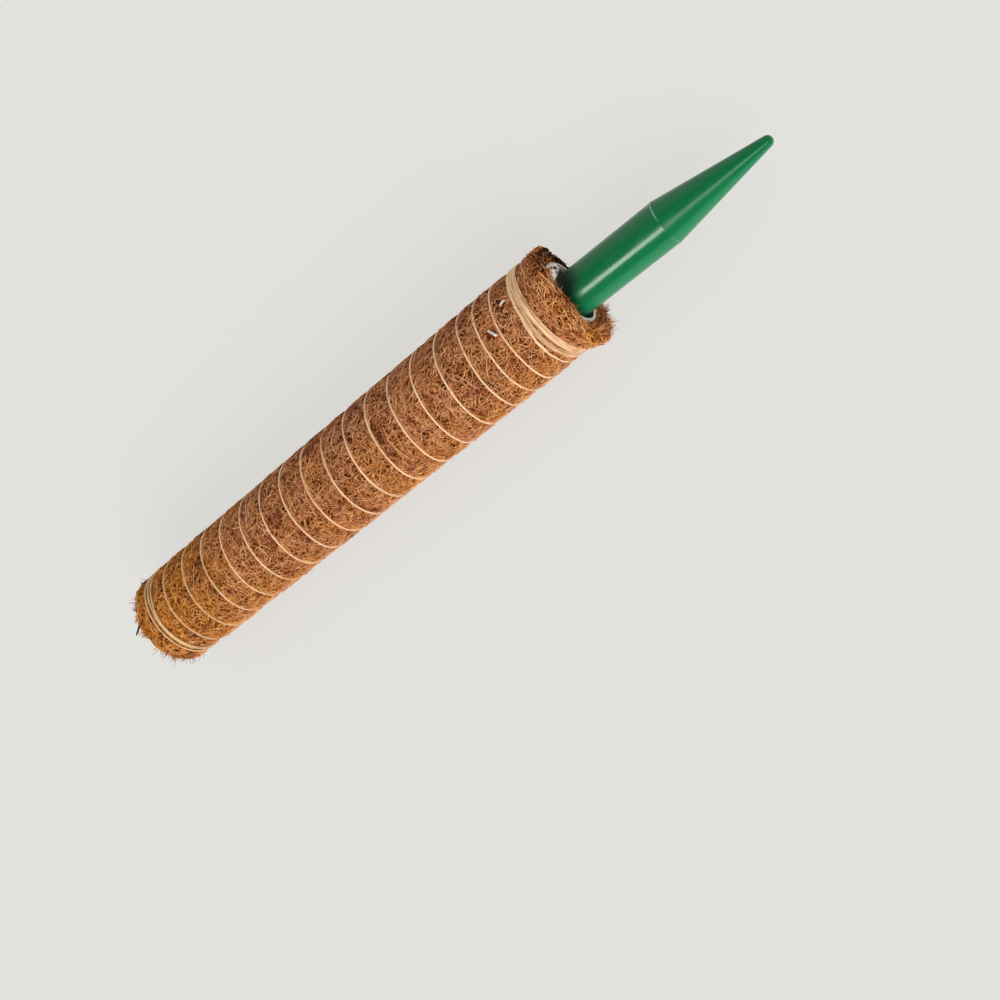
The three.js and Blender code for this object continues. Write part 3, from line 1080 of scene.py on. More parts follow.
@dataclass(frozen=True)
class CoatTree:
    """Tangled fibres that lie on the mat, also over its ends."""

    pole: PoleFrame
    furrow: float
    crest: float
    bore: float
    proud: float
    seam: float
    bald: tuple[float, ...]
    dents: tuple[Vector, ...]
    low: float = math.radians(108.0)
    edge_turn: float = math.radians(8.0)
    rim_gap: float = 0.8 * MM
    bald_reach: Span = (1.5 * MM, 4.5 * MM)
    dent_reach: Span = (1.5 * MM, 3.8 * MM)
    tip_reach: float = 4.0 * MM
    edge_reach: float = 8.0 * MM
    mouth_reach: float = 14.0 * MM
    far_reach: Span = (10.0 * MM, 110.0 * MM)
    end_reach: float = 9.0 * MM
    least: float = 0.05 * MM
    paler: float = 0.03
    points: int = 6

    def build(self) -> bpy.types.NodeTree:
        """Tree that strews fibres over a mesh, bends them and lays them onto it.

        Returns:
            The tree.
        """
        graph = GeometryGraph(
            "tangled_fibres", "Density", "Shortest", "Longest", "Wiggle", "Lift", "Undulation",
            "Thinnest", "Thickest", "Paleness", "Reach", "Comb", "Spread")
        fibres = self._strewn(graph)
        bent = graph.vector("ADD", graph.here(),
                            graph.stretch(graph.drift(120.0, 2.0, 4), graph.given("Wiggle")))
        foot, out = self._landing(graph, self._folded(graph, bent))
        lift = graph.chance(0.0, 1.0, 5, graph.strand())
        _, _, swell = graph.split(graph.drift(430.0, 0.0, 6))
        height = graph.given("Lift") * (0.4 + lift) + graph.given("Undulation") * swell
        unit, _, radius = self._round(graph, foot)
        facing, _, _ = graph.split(out)
        facing = graph.math("ABSOLUTE", facing)
        room = facing.at_least(0.3 + 0.7 * graph.smooth(radius, self.furrow, self.crest))
        bald = self._towards(graph, unit, self.bald[0], 0.5, 0.9)
        bald = bald.at_least(self._towards(graph, unit, self.bald[1], 0.75, 0.95))
        bald = bald * graph.falling(radius, *(self.bore + reach for reach in self.bald_reach))
        room = room * (1.0 - 0.92 * bald)
        room = room * (1.0 - 0.6 * self._towards(graph, unit, self.seam, 0.94, 0.995))
        room = room * (1.0 - 0.7 * self._dented(graph))
        proud = (height * room).at_least(self.least)
        x, y, z = graph.split(graph.vector("ADD", foot, graph.stretch(out, proud)))
        top = graph.given("Lift") * 1.4 + graph.given("Undulation") * 0.25
        fibres = graph.keep(fibres, "height", (height / top).at_least(0.0).at_most(1.0))
        fibres = graph.keep(fibres, "facing", facing)
        fibres = graph.moved(fibres, graph.combine(x, y, z.at_least(graph.given("Thickest"))))
        girth = graph.chance(graph.given("Thinnest"), graph.given("Thickest"), 7, graph.strand())
        mesh = graph.tube(fibres, girth, 3, self._tint(graph), self._warmth(graph))
        return graph.close(mesh)

    def _strewn(self, graph: GeometryGraph) -> Wire:
        """Straight fibres at chance places within a reach of the mouth, combed one way.

        Args:
            graph: The tree.

        Returns:
            The fibres.
        """
        unit, x, radius = self._round(graph, graph.here())
        _, back, _ = graph.split(unit)
        facing, _, _ = graph.split(graph.add("GeometryNodeInputNormal"))
        bare = facing.above(0.6) * back.above(0.35)
        outside = radius.above(self.bore + self.rim_gap) * (1.0 - bare)
        outside = outside * x.above(self.pole.mouth_x - graph.given("Reach"))
        spots = graph.spots(outside)
        turn = graph.add("FunctionNodeAlignRotationToVector", {"axis": "X", "pivot_axis": "Z"},
                         {"Rotation": spots.out("Rotation"), "Vector": (1.0, 0.0, 0.0)})
        swing = graph.given("Comb") + graph.given("Spread") * graph.chance(-1.0, 1.0, 1)
        turn = graph.turned(turn, (0.0, 0.0, 1.0), swing)
        length = graph.chance(graph.given("Shortest"), graph.given("Longest"), 2)
        return graph.strands(spots, turn, graph.combine(length, 1.0, 1.0),
                             ((-0.5, 0.0, 0.0), (0.5, 0.0, 0.0)), self.points)

    def _round(self, graph: GeometryGraph, position: Wire) -> tuple[Wire, Wire, Wire]:
        """Outward direction, distance along X and radius of a position round the pole.

        Args:
            graph: The tree.
            position: The position.

        Returns:
            The direction, the distance and the radius.
        """
        x, _, _ = graph.split(position)
        outward = graph.outward(position, self.pole.axis_z)
        return graph.vector("NORMALIZE", outward), x, graph.length(outward)

    def _folded(self, graph: GeometryGraph, position: Wire) -> Wire:
        """Position with what reaches past an end of the mat folded in over that end.

        Args:
            graph: The tree.
            position: The position.

        Returns:
            The folded position.
        """
        unit, x, radius = self._round(graph, position)
        near = self.pole.mouth_x + self.proud
        past = (x - near).at_least(self.pole.far_x - x).at_least(0.0)
        radius = (radius - past).at_least(self.bore)
        along = graph.combine(x.at_most(near).at_least(self.pole.far_x), 0.0, self.pole.axis_z)
        return graph.vector("ADD", along, graph.stretch(unit, radius))

    def _landing(self, graph: GeometryGraph, position: Wire) -> tuple[Wire, Wire]:
        """Nearest point of the mesh to a position, and the direction out of the mesh there.

        Args:
            graph: The tree.
            position: The position.

        Returns:
            The point and the direction.
        """
        mesh = graph.given("Geometry")
        foot = graph.add("GeometryNodeProximity", {"target_element": "FACES"},
                         {"Target": mesh, "Source Position": position}, "Position")
        out = graph.add("GeometryNodeSampleNearestSurface", {"data_type": "FLOAT_VECTOR"},
                        {"Mesh": mesh, "Value": graph.add("GeometryNodeInputNormal"),
                         "Sample Position": position}, "Value")
        return foot, graph.vector("NORMALIZE", out)

    def _tint(self, graph: GeometryGraph) -> Wire:
        """Shade of a fibre: its own, painted darker where shade falls and lighter low at the front.

        Args:
            graph: The tree.

        Returns:
            The shade, from zero to one or a little past them.
        """
        own = graph.chance(0.0, 1.0, 9, graph.strand())
        unit, x, _ = self._round(graph, graph.here())
        _, y, _ = graph.split(unit)
        # Painted shade: a broken dark line beside the seam, away from the mouth.
        edge = self._towards(graph, unit, self.seam + self.edge_turn, 0.972, 0.997)
        edge = edge * graph.smooth(graph.cloud(graph.here(), 38.0, 2.0), 0.3, 0.6)
        shade = 0.5 * edge * (1.0 - self._at_mouth(graph, x, self.edge_reach))
        # Painted light: fibres low at the front are paler.
        shade = shade - 0.17 * self._at_low(graph, unit)
        # Painted shade: darker round the staples' dents.
        shade = shade + 0.3 * self._dented(graph)
        # Painted shade: end faces are darker towards the back.
        shade = shade + 0.36 * graph.kept("facing") * graph.smooth(y, 0.2, 0.8)
        vivid = 0.36 * self._at_mouth(graph, x, self.mouth_reach) * (own - 0.48)
        # Painted shade: fibres that lie deep are darker, by their height.
        bare = graph.given("Paleness") + self.paler + 0.4 * own + 0.5 * graph.kept("height")
        patch = self._dark_patch(graph)
        # Painted shade: darker spots stand for pits between the fibres.
        pit = graph.smooth(graph.cloud(graph.here(), 640.0, 1.0), 0.55, 0.68)
        tip = self._at_mouth(graph, x, self.tip_reach) * self._at_seam(graph, unit)
        return bare + vivid - shade - 0.24 * patch - 0.26 * pit + 0.3 * tip

    @staticmethod
    def _dark_patch(graph: GeometryGraph) -> Wire:
        """One in the dark, reddish patches of the mat, and zero outside them."""
        return graph.smooth(graph.cloud(graph.here(), 85.0, 2.0), 0.57, 0.70)

    def _dented(self, graph: GeometryGraph) -> Wire:
        """One where a staple pulls the fibres down, and zero away from the staples."""
        away = [graph.vector("SUBTRACT", graph.here(), tuple(place)) for place in self.dents]
        return graph.largest([graph.falling(graph.length(gap), *self.dent_reach) for gap in away])

    def _at_low(self, graph: GeometryGraph, unit: Wire) -> Wire:
        """One low down at the front and zero away from it, for a direction out of the axis."""
        return self._towards(graph, unit, self.low, 0.93, 1.0)

    def _at_seam(self, graph: GeometryGraph, unit: Wire) -> Wire:
        """One on the seam and zero away from it, for a direction out of the pole's axis."""
        return self._towards(graph, unit, self.seam, 0.985, 1.0)

    @staticmethod
    def _towards(graph: GeometryGraph, unit: Wire, angle: float, low: float, high: float) -> Wire:
        """One where a direction out of the axis is close to an angle, and zero away from it.

        Args:
            graph: The tree.
            unit: The direction.
            angle: Angle round the pole.
            low: Cosine at which the value leaves zero.
            high: Cosine at which it comes to one.

        Returns:
            The value.
        """
        edge = (0.0, -math.sin(angle), math.cos(angle))
        close = graph.vector("DOT_PRODUCT", unit, edge, output="Value")
        return graph.smooth(close, low, high)

    def _at_mouth(self, graph: GeometryGraph, x: Wire, reach: float) -> Wire:
        """One at the mouth and zero further away than a reach."""
        return graph.smooth(x, self.pole.mouth_x - reach, self.pole.mouth_x)

    def _warmth(self, graph: GeometryGraph) -> Wire:
        """Hue of a fibre: golden at the front and the far end, ruddy between.

        Args:
            graph: The tree.

        Returns:
            The hue, from zero to one or a little past them.
        """
        unit, x, _ = self._round(graph, graph.here())
        _, y, _ = graph.split(unit)
        far = graph.falling(x, *(self.pole.far_x + reach for reach in self.far_reach))
        patch = graph.cloud(graph.here(), 62.0, 3.0) - 0.5
        own = graph.chance(-0.2, 0.2, 10, graph.strand())
        # Painted light, with the paler tint low at the front: the hue turns ruddier there.
        own = own - 0.5 * self._at_low(graph, unit)
        own = own - 0.5 * self._dark_patch(graph)
        tip = self._at_mouth(graph, x, self.tip_reach)
        corner = tip * (self._at_seam(graph, unit) + 0.6 * graph.smooth(-1.0 * y, 0.85, 0.97))
        mouth = self._at_mouth(graph, x, self.mouth_reach)
        end = graph.falling(x, self.pole.far_x, self.pole.far_x + self.end_reach)
        own = own - 0.45 * end * graph.smooth(y, -0.3, 0.6)
        own = own - (0.16 - 0.3 * far) * y
        return 0.34 + 0.5 * far + 0.15 * mouth + patch + own + corner


@dataclass(frozen=True)
class Fray:
    """Frayed fibres on a ring along a cut end, between two radii and two angles in degrees."""

    name: str
    far: bool
    proud: float
    radii: Span
    angles: Span
    hairs: dict[str, float]


@dataclass(frozen=True)
class CoirMat:
    """Mat of coconut fibre rolled once round the pipe, with its tangled coat and frayed ends."""

    pole: PoleFrame
    winding: Winding
    dents: tuple[Vector, ...]
    crest: float = 24.25 * MM
    bore: float = 16.15 * MM
    furrow_reach: float = 2.3 * MM
    furrow_depth: float = 0.45 * MM
    band_pinch: float = 0.7 * MM
    band_reach: float = 7.0 * MM
    flare: float = 0.2 * MM
    front_flare: float = 3.0 * MM
    front_flare_angle: float = math.radians(100.0)
    flare_reach: float = 5.5 * MM
    seam_depth: float = 1.6 * MM
    seam_half: float = math.radians(1.8)
    lump: float = 0.26 * MM
    clearance: float = 0.35 * MM
    end_round: float = 1.8 * MM
    end_wave: float = 0.6 * MM
    end_wave_reach: float = 7.0 * MM
    end_bulge: float = 0.8 * MM
    end_crumple: float = 0.4 * MM
    corner: float = 3.2 * MM
    corner_angle: float = math.radians(10.0)
    corner_fall: float = math.radians(2.0)
    proud: float = 1.6 * MM
    back_proud: float = -1.6 * MM
    notch: float = 1.4 * MM
    notch_place: float = -1.6
    proud_angle: float = math.radians(25.0)
    lip: float = 0.9 * MM
    lip_gap: float = 0.15 * MM
    bares: tuple[tuple[float, float, float], ...] = (
        (math.radians(95.0), math.radians(46.0), 3.0 * MM),
        (math.radians(-50.0), math.radians(30.0), 1.9 * MM),
    )
    far_sink: float = 2.6 * MM
    splinter: tuple[Span, ...] = (
        (0.0, 0.0), (0.05, 0.8), (0.4, 1.0), (0.75, 0.85), (0.95, 0.5), (1.0, 0.0))
    splinter_along: Direction = (-0.74, -0.64, 0.22)
    splinter_angle: float = math.radians(-4.0)
    splinter_inset: Span = (0.9 * MM, 2.0 * MM)
    splinter_half: Span = (0.75 * MM, 0.4 * MM)
    splinter_length: float = 8.5 * MM
    splinter_sides: int = 6
    layer: float = 0.6 * MM
    layers: int = 3
    columns: int = 160
    rows: int = 416
    end_rows: int = 13
    bore_rows: int = 24
    ring_sides: int = 120
    coats: int = 7

    def build(self) -> None:
        """Builds the mat's body, its coats of fibre, its stray hairs and its frayed ends."""
        body = self._body()
        pieces = self._coats(body)
        hairs = HairTree().build()
        pieces.append(realised(
            "coir_strays", body, hairs, COIR_FIBRE, Seed=31, Density=7000.0, Clump=0.0,
            Shortest=1.5 * MM, Longest=4.5 * MM, Least_Tilt=0.9, Most_Tilt=1.5, Bend=4.0 * MM,
            Thinnest=0.06 * MM, Thickest=0.12 * MM, Darkest=0.2, Palest=1.0))
        for fray in self._frays():
            ring = self._end_ring(fray)
            pieces.append(realised(fray.name, ring, hairs, COIR_FIBRE, **fray.hairs))
            discard(ring)
        settle(body, "coir", "coir_mat")
        for piece in (*pieces, self._splinter()):
            settle(piece, "coir")

    def _coats(self, body: bpy.types.Object) -> list[bpy.types.Object]:
        """Coats of tangled fibre.

        Args:
            body: Body of the mat.

        Returns:
            The even coats, the denser one at the mouth and the long fibres.
        """
        tree = CoatTree(self.pole, self.crest - self.furrow_depth, self.crest, self.bore,
                        self.proud, self.winding.seam, tuple(bare[0] for bare in self.bares),
                        self.dents).build()
        coats = [
            realised(f"coir_coat_{number}", body, tree, COIR_FIBRE, Seed=100 * number,
                     Density=112000.0, Reach=1.0, Comb=0.0, Spread=1.6, Shortest=3.5 * MM,
                     Longest=7.0 * MM, Wiggle=7.5 * MM, Lift=0.5 * MM, Undulation=2.4 * MM,
                     Thinnest=0.11 * MM, Thickest=0.21 * MM, Paleness=0.24)
            for number in range(1, self.coats + 1)
        ]
        mouth = realised(
            "coir_mouth_coat", body, tree, COIR_FIBRE, Seed=900, Density=170000.0,
            Reach=14.0 * MM, Comb=1.4, Spread=0.75, Shortest=6.0 * MM, Longest=14.0 * MM,
            Wiggle=6.0 * MM, Lift=0.75 * MM, Undulation=2.2 * MM, Thinnest=0.15 * MM,
            Thickest=0.28 * MM, Paleness=0.18)
        long = realised(
            "coir_long_coat", body, tree, COIR_FIBRE, Seed=950, Density=14000.0, Reach=1.0,
            Comb=1.5, Spread=0.6, Shortest=10.0 * MM, Longest=24.0 * MM, Wiggle=7.0 * MM,
            Lift=0.8 * MM, Undulation=1.6 * MM, Thinnest=0.14 * MM, Thickest=0.22 * MM,
            Paleness=0.24)
        return [*coats, mouth, long]

    def _frays(self) -> tuple[Fray, ...]:
        """Kinds of frayed fibre at the cut ends.

        Returns:
            A fringe, lashes and tufts at the mouth, and bristles at the far end.
        """
        bore, crest = self.bore, self.crest
        return (
            Fray("coir_fringe", False, -0.5 * MM, (bore + 1.0 * MM, crest - 1.0 * MM), (-60.0, 190.0),
                 dict(Seed=57, Density=9.0e5, Clump=0.42, Shortest=1.0 * MM, Longest=3.2 * MM,
                      Least_Tilt=0.6, Most_Tilt=1.5, Bend=4.0 * MM, Thinnest=0.1 * MM,
                      Thickest=0.22 * MM, Darkest=0.1, Palest=0.95)),
            Fray("coir_lashes", False, 0.3 * MM, (bore - 0.6 * MM, bore + 2.0 * MM), (-40.0, 50.0),
                 dict(Seed=41, Density=2.4e6, Clump=0.4, Shortest=0.8 * MM, Longest=2.6 * MM,
                      Least_Tilt=0.5, Most_Tilt=1.5, Bend=4.0 * MM, Thinnest=0.1 * MM,
                      Thickest=0.2 * MM, Darkest=0.2, Palest=0.9)),
            Fray("coir_tufts", False, 0.2 * MM, (crest - 3.0 * MM, crest + 1.0 * MM), (70.0, 200.0),
                 dict(Seed=83, Density=5.0e6, Clump=0.47, Shortest=1.6 * MM, Longest=4.8 * MM,
                      Least_Tilt=0.1, Most_Tilt=1.2, Bend=7.0 * MM, Thinnest=0.12 * MM,
                      Thickest=0.24 * MM, Darkest=0.1, Palest=0.95)),
            Fray("coir_bristles", True, -0.5 * MM, (crest - 3.5 * MM, crest), (-180.0, 180.0),
                 dict(Seed=19, Density=3.0e6, Clump=0.54, Shortest=1.5 * MM, Longest=5.0 * MM,
                      Least_Tilt=0.1, Most_Tilt=1.1, Bend=6.0 * MM, Thinnest=0.17 * MM,
                      Thickest=0.32 * MM, Darkest=0.12, Palest=0.75)),
        )

    def _flare(self, angle: float, distance: float) -> float:
        """Growth of the radius towards an end.

        Args:
            angle: Angle round the pole.
            distance: Distance from the mouth.

        Returns:
            The growth.
        """
        turned = max(0.0, math.cos(angle - self.front_flare_angle))
        near = (self.flare + self.front_flare * turned ** 2) * math.exp(-distance / self.flare_reach)
        far = self.flare * math.exp(-(self.pole.length - distance) / self.flare_reach)
        return near + far

    def _furrow(self, gap: float) -> float:
        """Depth of the surface at a distance along the pole from the nearest twine."""
        share = min(gap / self.furrow_reach, 1.0)
        return self.furrow_depth * (1.0 - share * share * (3.0 - 2.0 * share))

    def _pinch(self, distance: float, crossings: Sequence[float]) -> float:
        """Depth to which the close turns at both ends draw the mat in at a distance."""
        middles = (sum(crossings[:3]) / 3, sum(crossings[-2:]) / 2)
        return sum(self.band_pinch * bell(distance - middle, self.band_reach) for middle in middles)

    def _outer_point(self, angle: float, distance: float, crossings: Sequence[float]) -> Vector:
        """Point on the mat's outside, above the ground and with its lumps.

        Args:
            angle: Angle round the pole.
            distance: Distance from the mouth.
            crossings: Distances at which the twine crosses there.

        Returns:
            The point.
        """
        gap = min(abs(distance - crossing) for crossing in crossings)
        level = self.pole.point(self.crest, angle, distance)
        lump = noise.noise(level * 110.0) + 0.5 * noise.noise(level * 310.0)
        radius = self.crest + self.lump * lump + self._flare(angle, distance)
        radius -= self._furrow(gap) + self._pinch(distance, crossings)
        turn = turned_from(angle, self.winding.seam)
        radius -= self.seam_depth * max(0.0, 1.0 - abs(turn) / self.seam_half)
        radius -= self._rounding(distance) + self._rounding(self.pole.length - distance)
        point = self.pole.point(radius, angle, distance)
        point.x += self._end_shift(angle, distance)
        point.z = max(point.z, self.clearance)
        return point

    def _rounding(self, distance: float) -> float:
        """Depth to which an edge of the mat is rounded at a distance from its end."""
        share = max(0.0, 1.0 - distance / self.end_round)
        return self.end_round * (1.0 - math.sqrt(1.0 - share * share))

    def _end_shift(self, angle: float, distance: float) -> float:
        """Shift along the pole that makes the cut ends uneven and lifts a corner at the seam.

        Args:
            angle: Angle round the pole.
            distance: Distance from the mouth.

        Returns:
            The shift towards the mouth.
        """
        turn = turned_from(angle, self.winding.seam)
        spot = Vector((4.5 * math.cos(angle), 4.5 * math.sin(angle), 0.3))
        front = 0.5 + 0.5 * math.cos(angle - self.proud_angle)
        near = self.back_proud + (self.proud - self.back_proud) * front
        near += self.end_wave * noise.noise(spot)
        fall = self.corner_angle if turn >= 0.0 else self.corner_fall
        near += self.corner * math.exp(-abs(turn / fall) ** 1.4)
        near -= self.notch * bell(turn / self.corner_angle - self.notch_place, 1.0)
        far = 1.6 * self.end_wave * noise.noise(spot + Vector((0.0, 0.0, 9.0)))
        far += self.far_sink * max(0.0, math.cos(angle - self.winding.seam)) ** 2
        near *= math.exp(-distance / self.end_wave_reach)
        far *= math.exp(-(self.pole.length - distance) / self.end_wave_reach)
        return near + far

    def _bare(self, angle: float) -> float:
        """Depth to which the inner edge at the mouth is drawn back and leaves the rim bare."""
        return sum(sink * bell(turned_from(angle, middle), reach)
                   for middle, reach, sink in self.bares)

    def _outline(self, angle: float) -> list[Vector]:
        """Closed outline of the mat on one side: outside, far end, bore and near end.

        Args:
            angle: Angle round the pole.

        Returns:
            The outline's points.
        """
        crossings = self.winding.crossings(angle)
        length = self.pole.length
        outer = [self._outer_point(angle, length * i / (self.rows - 1), crossings)
                 for i in range(self.rows)]
        bore = [self.pole.point(self.bore, angle, length * (1 - i / (self.bore_rows - 1)))
                for i in range(self.bore_rows)]
        cover = self.lip * max(0.0, math.cos(angle - self.proud_angle)) ** 4 - self.lip_gap
        lip = self.pole.point(self.bore - cover, angle, 0.0)
        for point in (bore[-1], lip):
            point.x += outer[0].x - self.pole.mouth_x - self._bare(angle)
        bore[-1].x -= self.lip
        bore.append(lip)
        far_end = self._end_face(outer[-1], bore[0], -1.0)
        near_end = self._end_face(bore[-1], outer[0], 1.0)
        return [*outer, *far_end, *bore, *near_end]

    def _end_face(self, start: Vector, stop: Vector, facing: float) -> list[Vector]:
        """Points between the outside and the bore, in uneven layers that bulge along the pole.

        Args:
            start: First point, which is left out.
            stop: Last point, which is left out.
            facing: One for the end at the mouth, minus one for the far end.

        Returns:
            The points.
        """
        points = []
        for i in range(1, self.end_rows):
            share = i / self.end_rows
            point = start.lerp(stop, share)
            ridge = math.cos(math.tau * self.layers * share + 2.0 * noise.noise(point * 90.0))
            bulge = self.end_bulge * math.sin(math.pi * share)
            bulge += self.end_crumple * noise.noise(point * 420.0)
            point.x += facing * (bulge - self.layer * ridge)
            points.append(point)
        return points

    def _body(self) -> bpy.types.Object:
        """Closed body of the mat, which carries the fibres.

        Returns:
            The body.
        """
        columns = [self._outline(angle) for angle in around(self.columns, self.winding.seam)]
        # The body's dark browns are partly painted shade: they stand for the fibre in shadow under the
        # top fibres.
        finish = MatDepthFinish(
            name="coir_depth", deep=(0.045, 0.010, 0.001), pale=(0.15, 0.041, 0.008),
            layer=(0.17, 0.10, 0.055), axis_z=self.pole.axis_z, outside=self.crest)
        return turned_mesh("coir_body", columns, finish, ring=True, crease=180.0)

    def _splinter(self) -> bpy.types.Object:
        """Dark splinter of husk that sticks out of the far end.

        Returns:
            The splinter.
        """
        depth, inset = self.splinter_inset
        base = self.pole.point(self.crest - depth, self.splinter_angle, self.pole.length - inset)
        along = Vector(self.splinter_along).normalized()
        side = along.cross(Vector((0.0, 0.0, 1.0))).normalized()
        up = side.cross(along)
        wide, high = self.splinter_half
        columns = []
        for turn in around(self.splinter_sides):
            round_off = side * (wide * math.cos(turn)) + up * (high * math.sin(turn))
            columns.append([base + along * (self.splinter_length * share) + round_off * girth
                            for share, girth in self.splinter])
        finish = MatDepthFinish(
            name="coir_husk", deep=(0.02, 0.012, 0.007), pale=(0.06, 0.035, 0.02),
            layer=(0.08, 0.05, 0.03), axis_z=self.pole.axis_z, outside=self.crest)
        return turned_mesh("coir_splinter", columns, finish, ring=False, crease=60.0)

    def _end_ring(self, fray: Fray) -> bpy.types.Object:
        """Helper ring along an uneven end face, where frayed fibres stand.

        Args:
            fray: The fibres.

        Returns:
            The helper, which faces out of the mat and is to be discarded.
        """
        start, stop = (math.radians(angle) for angle in fray.angles)
        outwards = -1.0 if fray.far else 1.0
        distance = self.pole.length if fray.far else 0.0
        points = []
        faces = []
        for j in range(self.ring_sides + 1):
            angle = start + (stop - start) * j / self.ring_sides
            shift = self._end_shift(angle, distance) + outwards * fray.proud
            for radius in fray.radii:
                point = self.pole.point(radius, angle, distance - shift)
                point.z = max(point.z, self.clearance)
                points.append(point)
            if j:
                last = len(points)
                faces.append((last - 4, last - 3, last - 1, last - 2))
        mesh = bpy.data.meshes.new("end_ring")
        mesh.from_pydata(points, [], faces)
        if mesh.polygons[0].normal.x * outwards < 0:
            mesh.flip_normals()
        return linked("end_ring", mesh)


@dataclass(frozen=True)
class TwineTree:
    """Plied twine along a line round the pole."""

    pole: PoleFrame
    plies: int = 6
    sides: int = 5
    far_reach: float = 120.0 * MM
    back: float = 22.0 * MM

    def build(self) -> bpy.types.NodeTree:
        """Tree that lays plies along a line of edges, twisted or slack and side by side.

        Returns:
            The tree.
        """
        graph = GeometryGraph("plied_twine", "Step", "Ply Radius", "Ply Offset", "Lay", "Lane",
                              "Wander")
        line = graph.add("GeometryNodeMeshToCurve", {}, {"Mesh": graph.given("Geometry")})
        line = graph.add("GeometryNodeResampleCurve", {"mode": "LENGTH"},
                         {"Curve": line, "Length": graph.given("Step")})
        join = graph.tree.nodes.new("GeometryNodeJoinGeometry")
        for ply in range(self.plies):
            graph.tree.links.new(self._ply(graph, line, ply).socket, join.inputs[0])
        return graph.close(Wire(graph, join.outputs[0]))

    def _ply(self, graph: GeometryGraph, line: Wire, ply: int) -> Wire:
        """Tube of one ply.

        Args:
            graph: The tree.
            line: Centre line of the twine.
            ply: Number of the ply.

        Returns:
            The ply's mesh.
        """
        run = graph.add("GeometryNodeSplineParameter", {}, {}, "Length")
        tangent = graph.add("GeometryNodeInputTangent")
        outward = graph.vector("NORMALIZE", graph.outward(graph.here(), self.pole.axis_z))
        across = graph.vector("NORMALIZE", graph.vector("CROSS_PRODUCT", tangent, outward))
        angle = run * math.tau / graph.given("Lay") + math.tau * ply / self.plies
        twisted = graph.given("Ply Offset") * (1.0 - graph.kept("flat"))
        lane = ply - (self.plies - 1) / 2
        sway = graph.cloud(graph.combine(run, float(ply), 3.0), 75.0, 2.0) - 0.5
        lift = graph.cloud(graph.combine(run, float(ply), 8.0), 110.0, 1.0) - 0.5
        slack = (lane * graph.given("Lane") + sway * graph.given("Wander")) * graph.kept("flat")
        proud = lift * graph.given("Wander") * graph.kept("flat")
        offset = graph.vector(
            "ADD", graph.stretch(outward, graph.math("COSINE", angle) * twisted + proud),
            graph.stretch(across, graph.math("SINE", angle) * twisted + slack))
        strand = graph.moved(line, graph.vector("ADD", graph.here(), offset))
        slub = graph.cloud(graph.combine(run, 0.0, 0.0), 70.0, 2.0) - 0.5
        girth = graph.given("Ply Radius") * (1.0 + 0.7 * slub)
        shade = graph.cloud(graph.combine(run, float(ply), 0.0), 330.0, 3.0) - 0.5
        hue = graph.cloud(graph.combine(run, float(ply) + 7.0, 0.0), 45.0, 2.0) - 0.5
        streak = graph.cloud(graph.combine(run, 5.3 * ply + 2.5, 1.0), 22.0, 2.0) - 0.5
        x, y, _ = graph.split(graph.here())
        far = graph.falling(x, self.pole.far_x, self.pole.far_x + self.far_reach)
        behind = graph.smooth(y, 0.0, self.back)
        tone = graph.cloud(graph.combine(run, 0.0, 11.0), 42.0, 2.0) - 0.5
        # Painted light: the twine is paler towards the back, where less light falls on it.
        tint = 0.74 - 0.42 * far + 0.25 * behind + 1.5 * shade + 1.1 * tone
        tint = tint + (3.4 * streak - 0.3) * graph.kept("flat")
        return graph.tube(strand, girth, self.sides, tint, 0.34 + 0.55 * far + 1.4 * hue)


@dataclass(frozen=True)
class BindingTwine:
    """One length of jute twine wound round the mat from the mouth to the far end."""

    pole: PoleFrame
    winding: Winding
    radius: float = 24.35 * MM
    half: float = 0.55 * MM
    clearance: float = 0.15 * MM
    steps: int = 72

    def build(self) -> None:
        """Builds the plied strand and its loose hairs."""
        line = self._line()
        strand = realised("twine_strand", line, TwineTree(self.pole).build(), JUTE, Seed=5,
                          Step=1.2 * MM, Ply_Radius=0.2 * MM, Ply_Offset=0.29 * MM,
                          Lay=9.0 * MM, Lane=0.37 * MM, Wander=0.9 * MM)
        discard(line)
        fuzz = realised("twine_fuzz", strand, HairTree().build(), JUTE, Seed=77,
                        Density=110000.0, Clump=0.0, Shortest=0.8 * MM, Longest=2.6 * MM,
                        Least_Tilt=0.7, Most_Tilt=1.45, Bend=3.0 * MM, Thinnest=0.035 * MM,
                        Thickest=0.06 * MM, Darkest=0.3, Palest=0.95)
        settle(strand, "jute", "binding_twine")
        settle(fuzz, "jute")

    def _line(self) -> bpy.types.Object:
        """Helper with the twine's centre line as edges.

        Returns:
            The helper, which is to be discarded.
        """
        turns = [step / self.steps for step in range(self.winding.turns * self.steps + 1)]
        points = []
        for turn in turns:
            angle = self.winding.angle(turn)
            point = self.pole.point(self.radius, angle, self.winding.distance(turn))
            point.z = max(point.z, self.half + self.clearance)
            points.append(point)
        mesh = bpy.data.meshes.new("twine_line")
        mesh.from_pydata(points, [(i, i + 1) for i in range(len(points) - 1)], [])
        flat = mesh.attributes.new("flat", "FLOAT", "POINT")
        flat.data.foreach_set("value", [self.winding.flatness(turn) for turn in turns])
        return linked("twine_line", mesh)


@dataclass(frozen=True)
class SpikeSeat:
    """Where the spike stands in the pipe: off centre and leaning a little."""

    pole: PoleFrame
    offset: float = 2.0 * MM
    side: float = math.radians(110.0)
    lean: float = math.radians(0.8)

    def matrix(self) -> Matrix:
        """Placement of a spike that is drawn along X with the mouth at zero.

        Returns:
            The placement.
        """
        sideways = self.pole.point(1.0, self.side, 0.0) - self.pole.point(0.0, 0.0, 0.0)
        axis = Vector((math.cos(self.lean), 0.0, 0.0)) + sideways * math.sin(self.lean)
        turn = Vector((1.0, 0.0, 0.0)).rotation_difference(axis)
        place = Matrix.Translation(self.pole.point(self.offset, self.side, 0.0))
        return place @ turn.to_matrix().to_4x4()


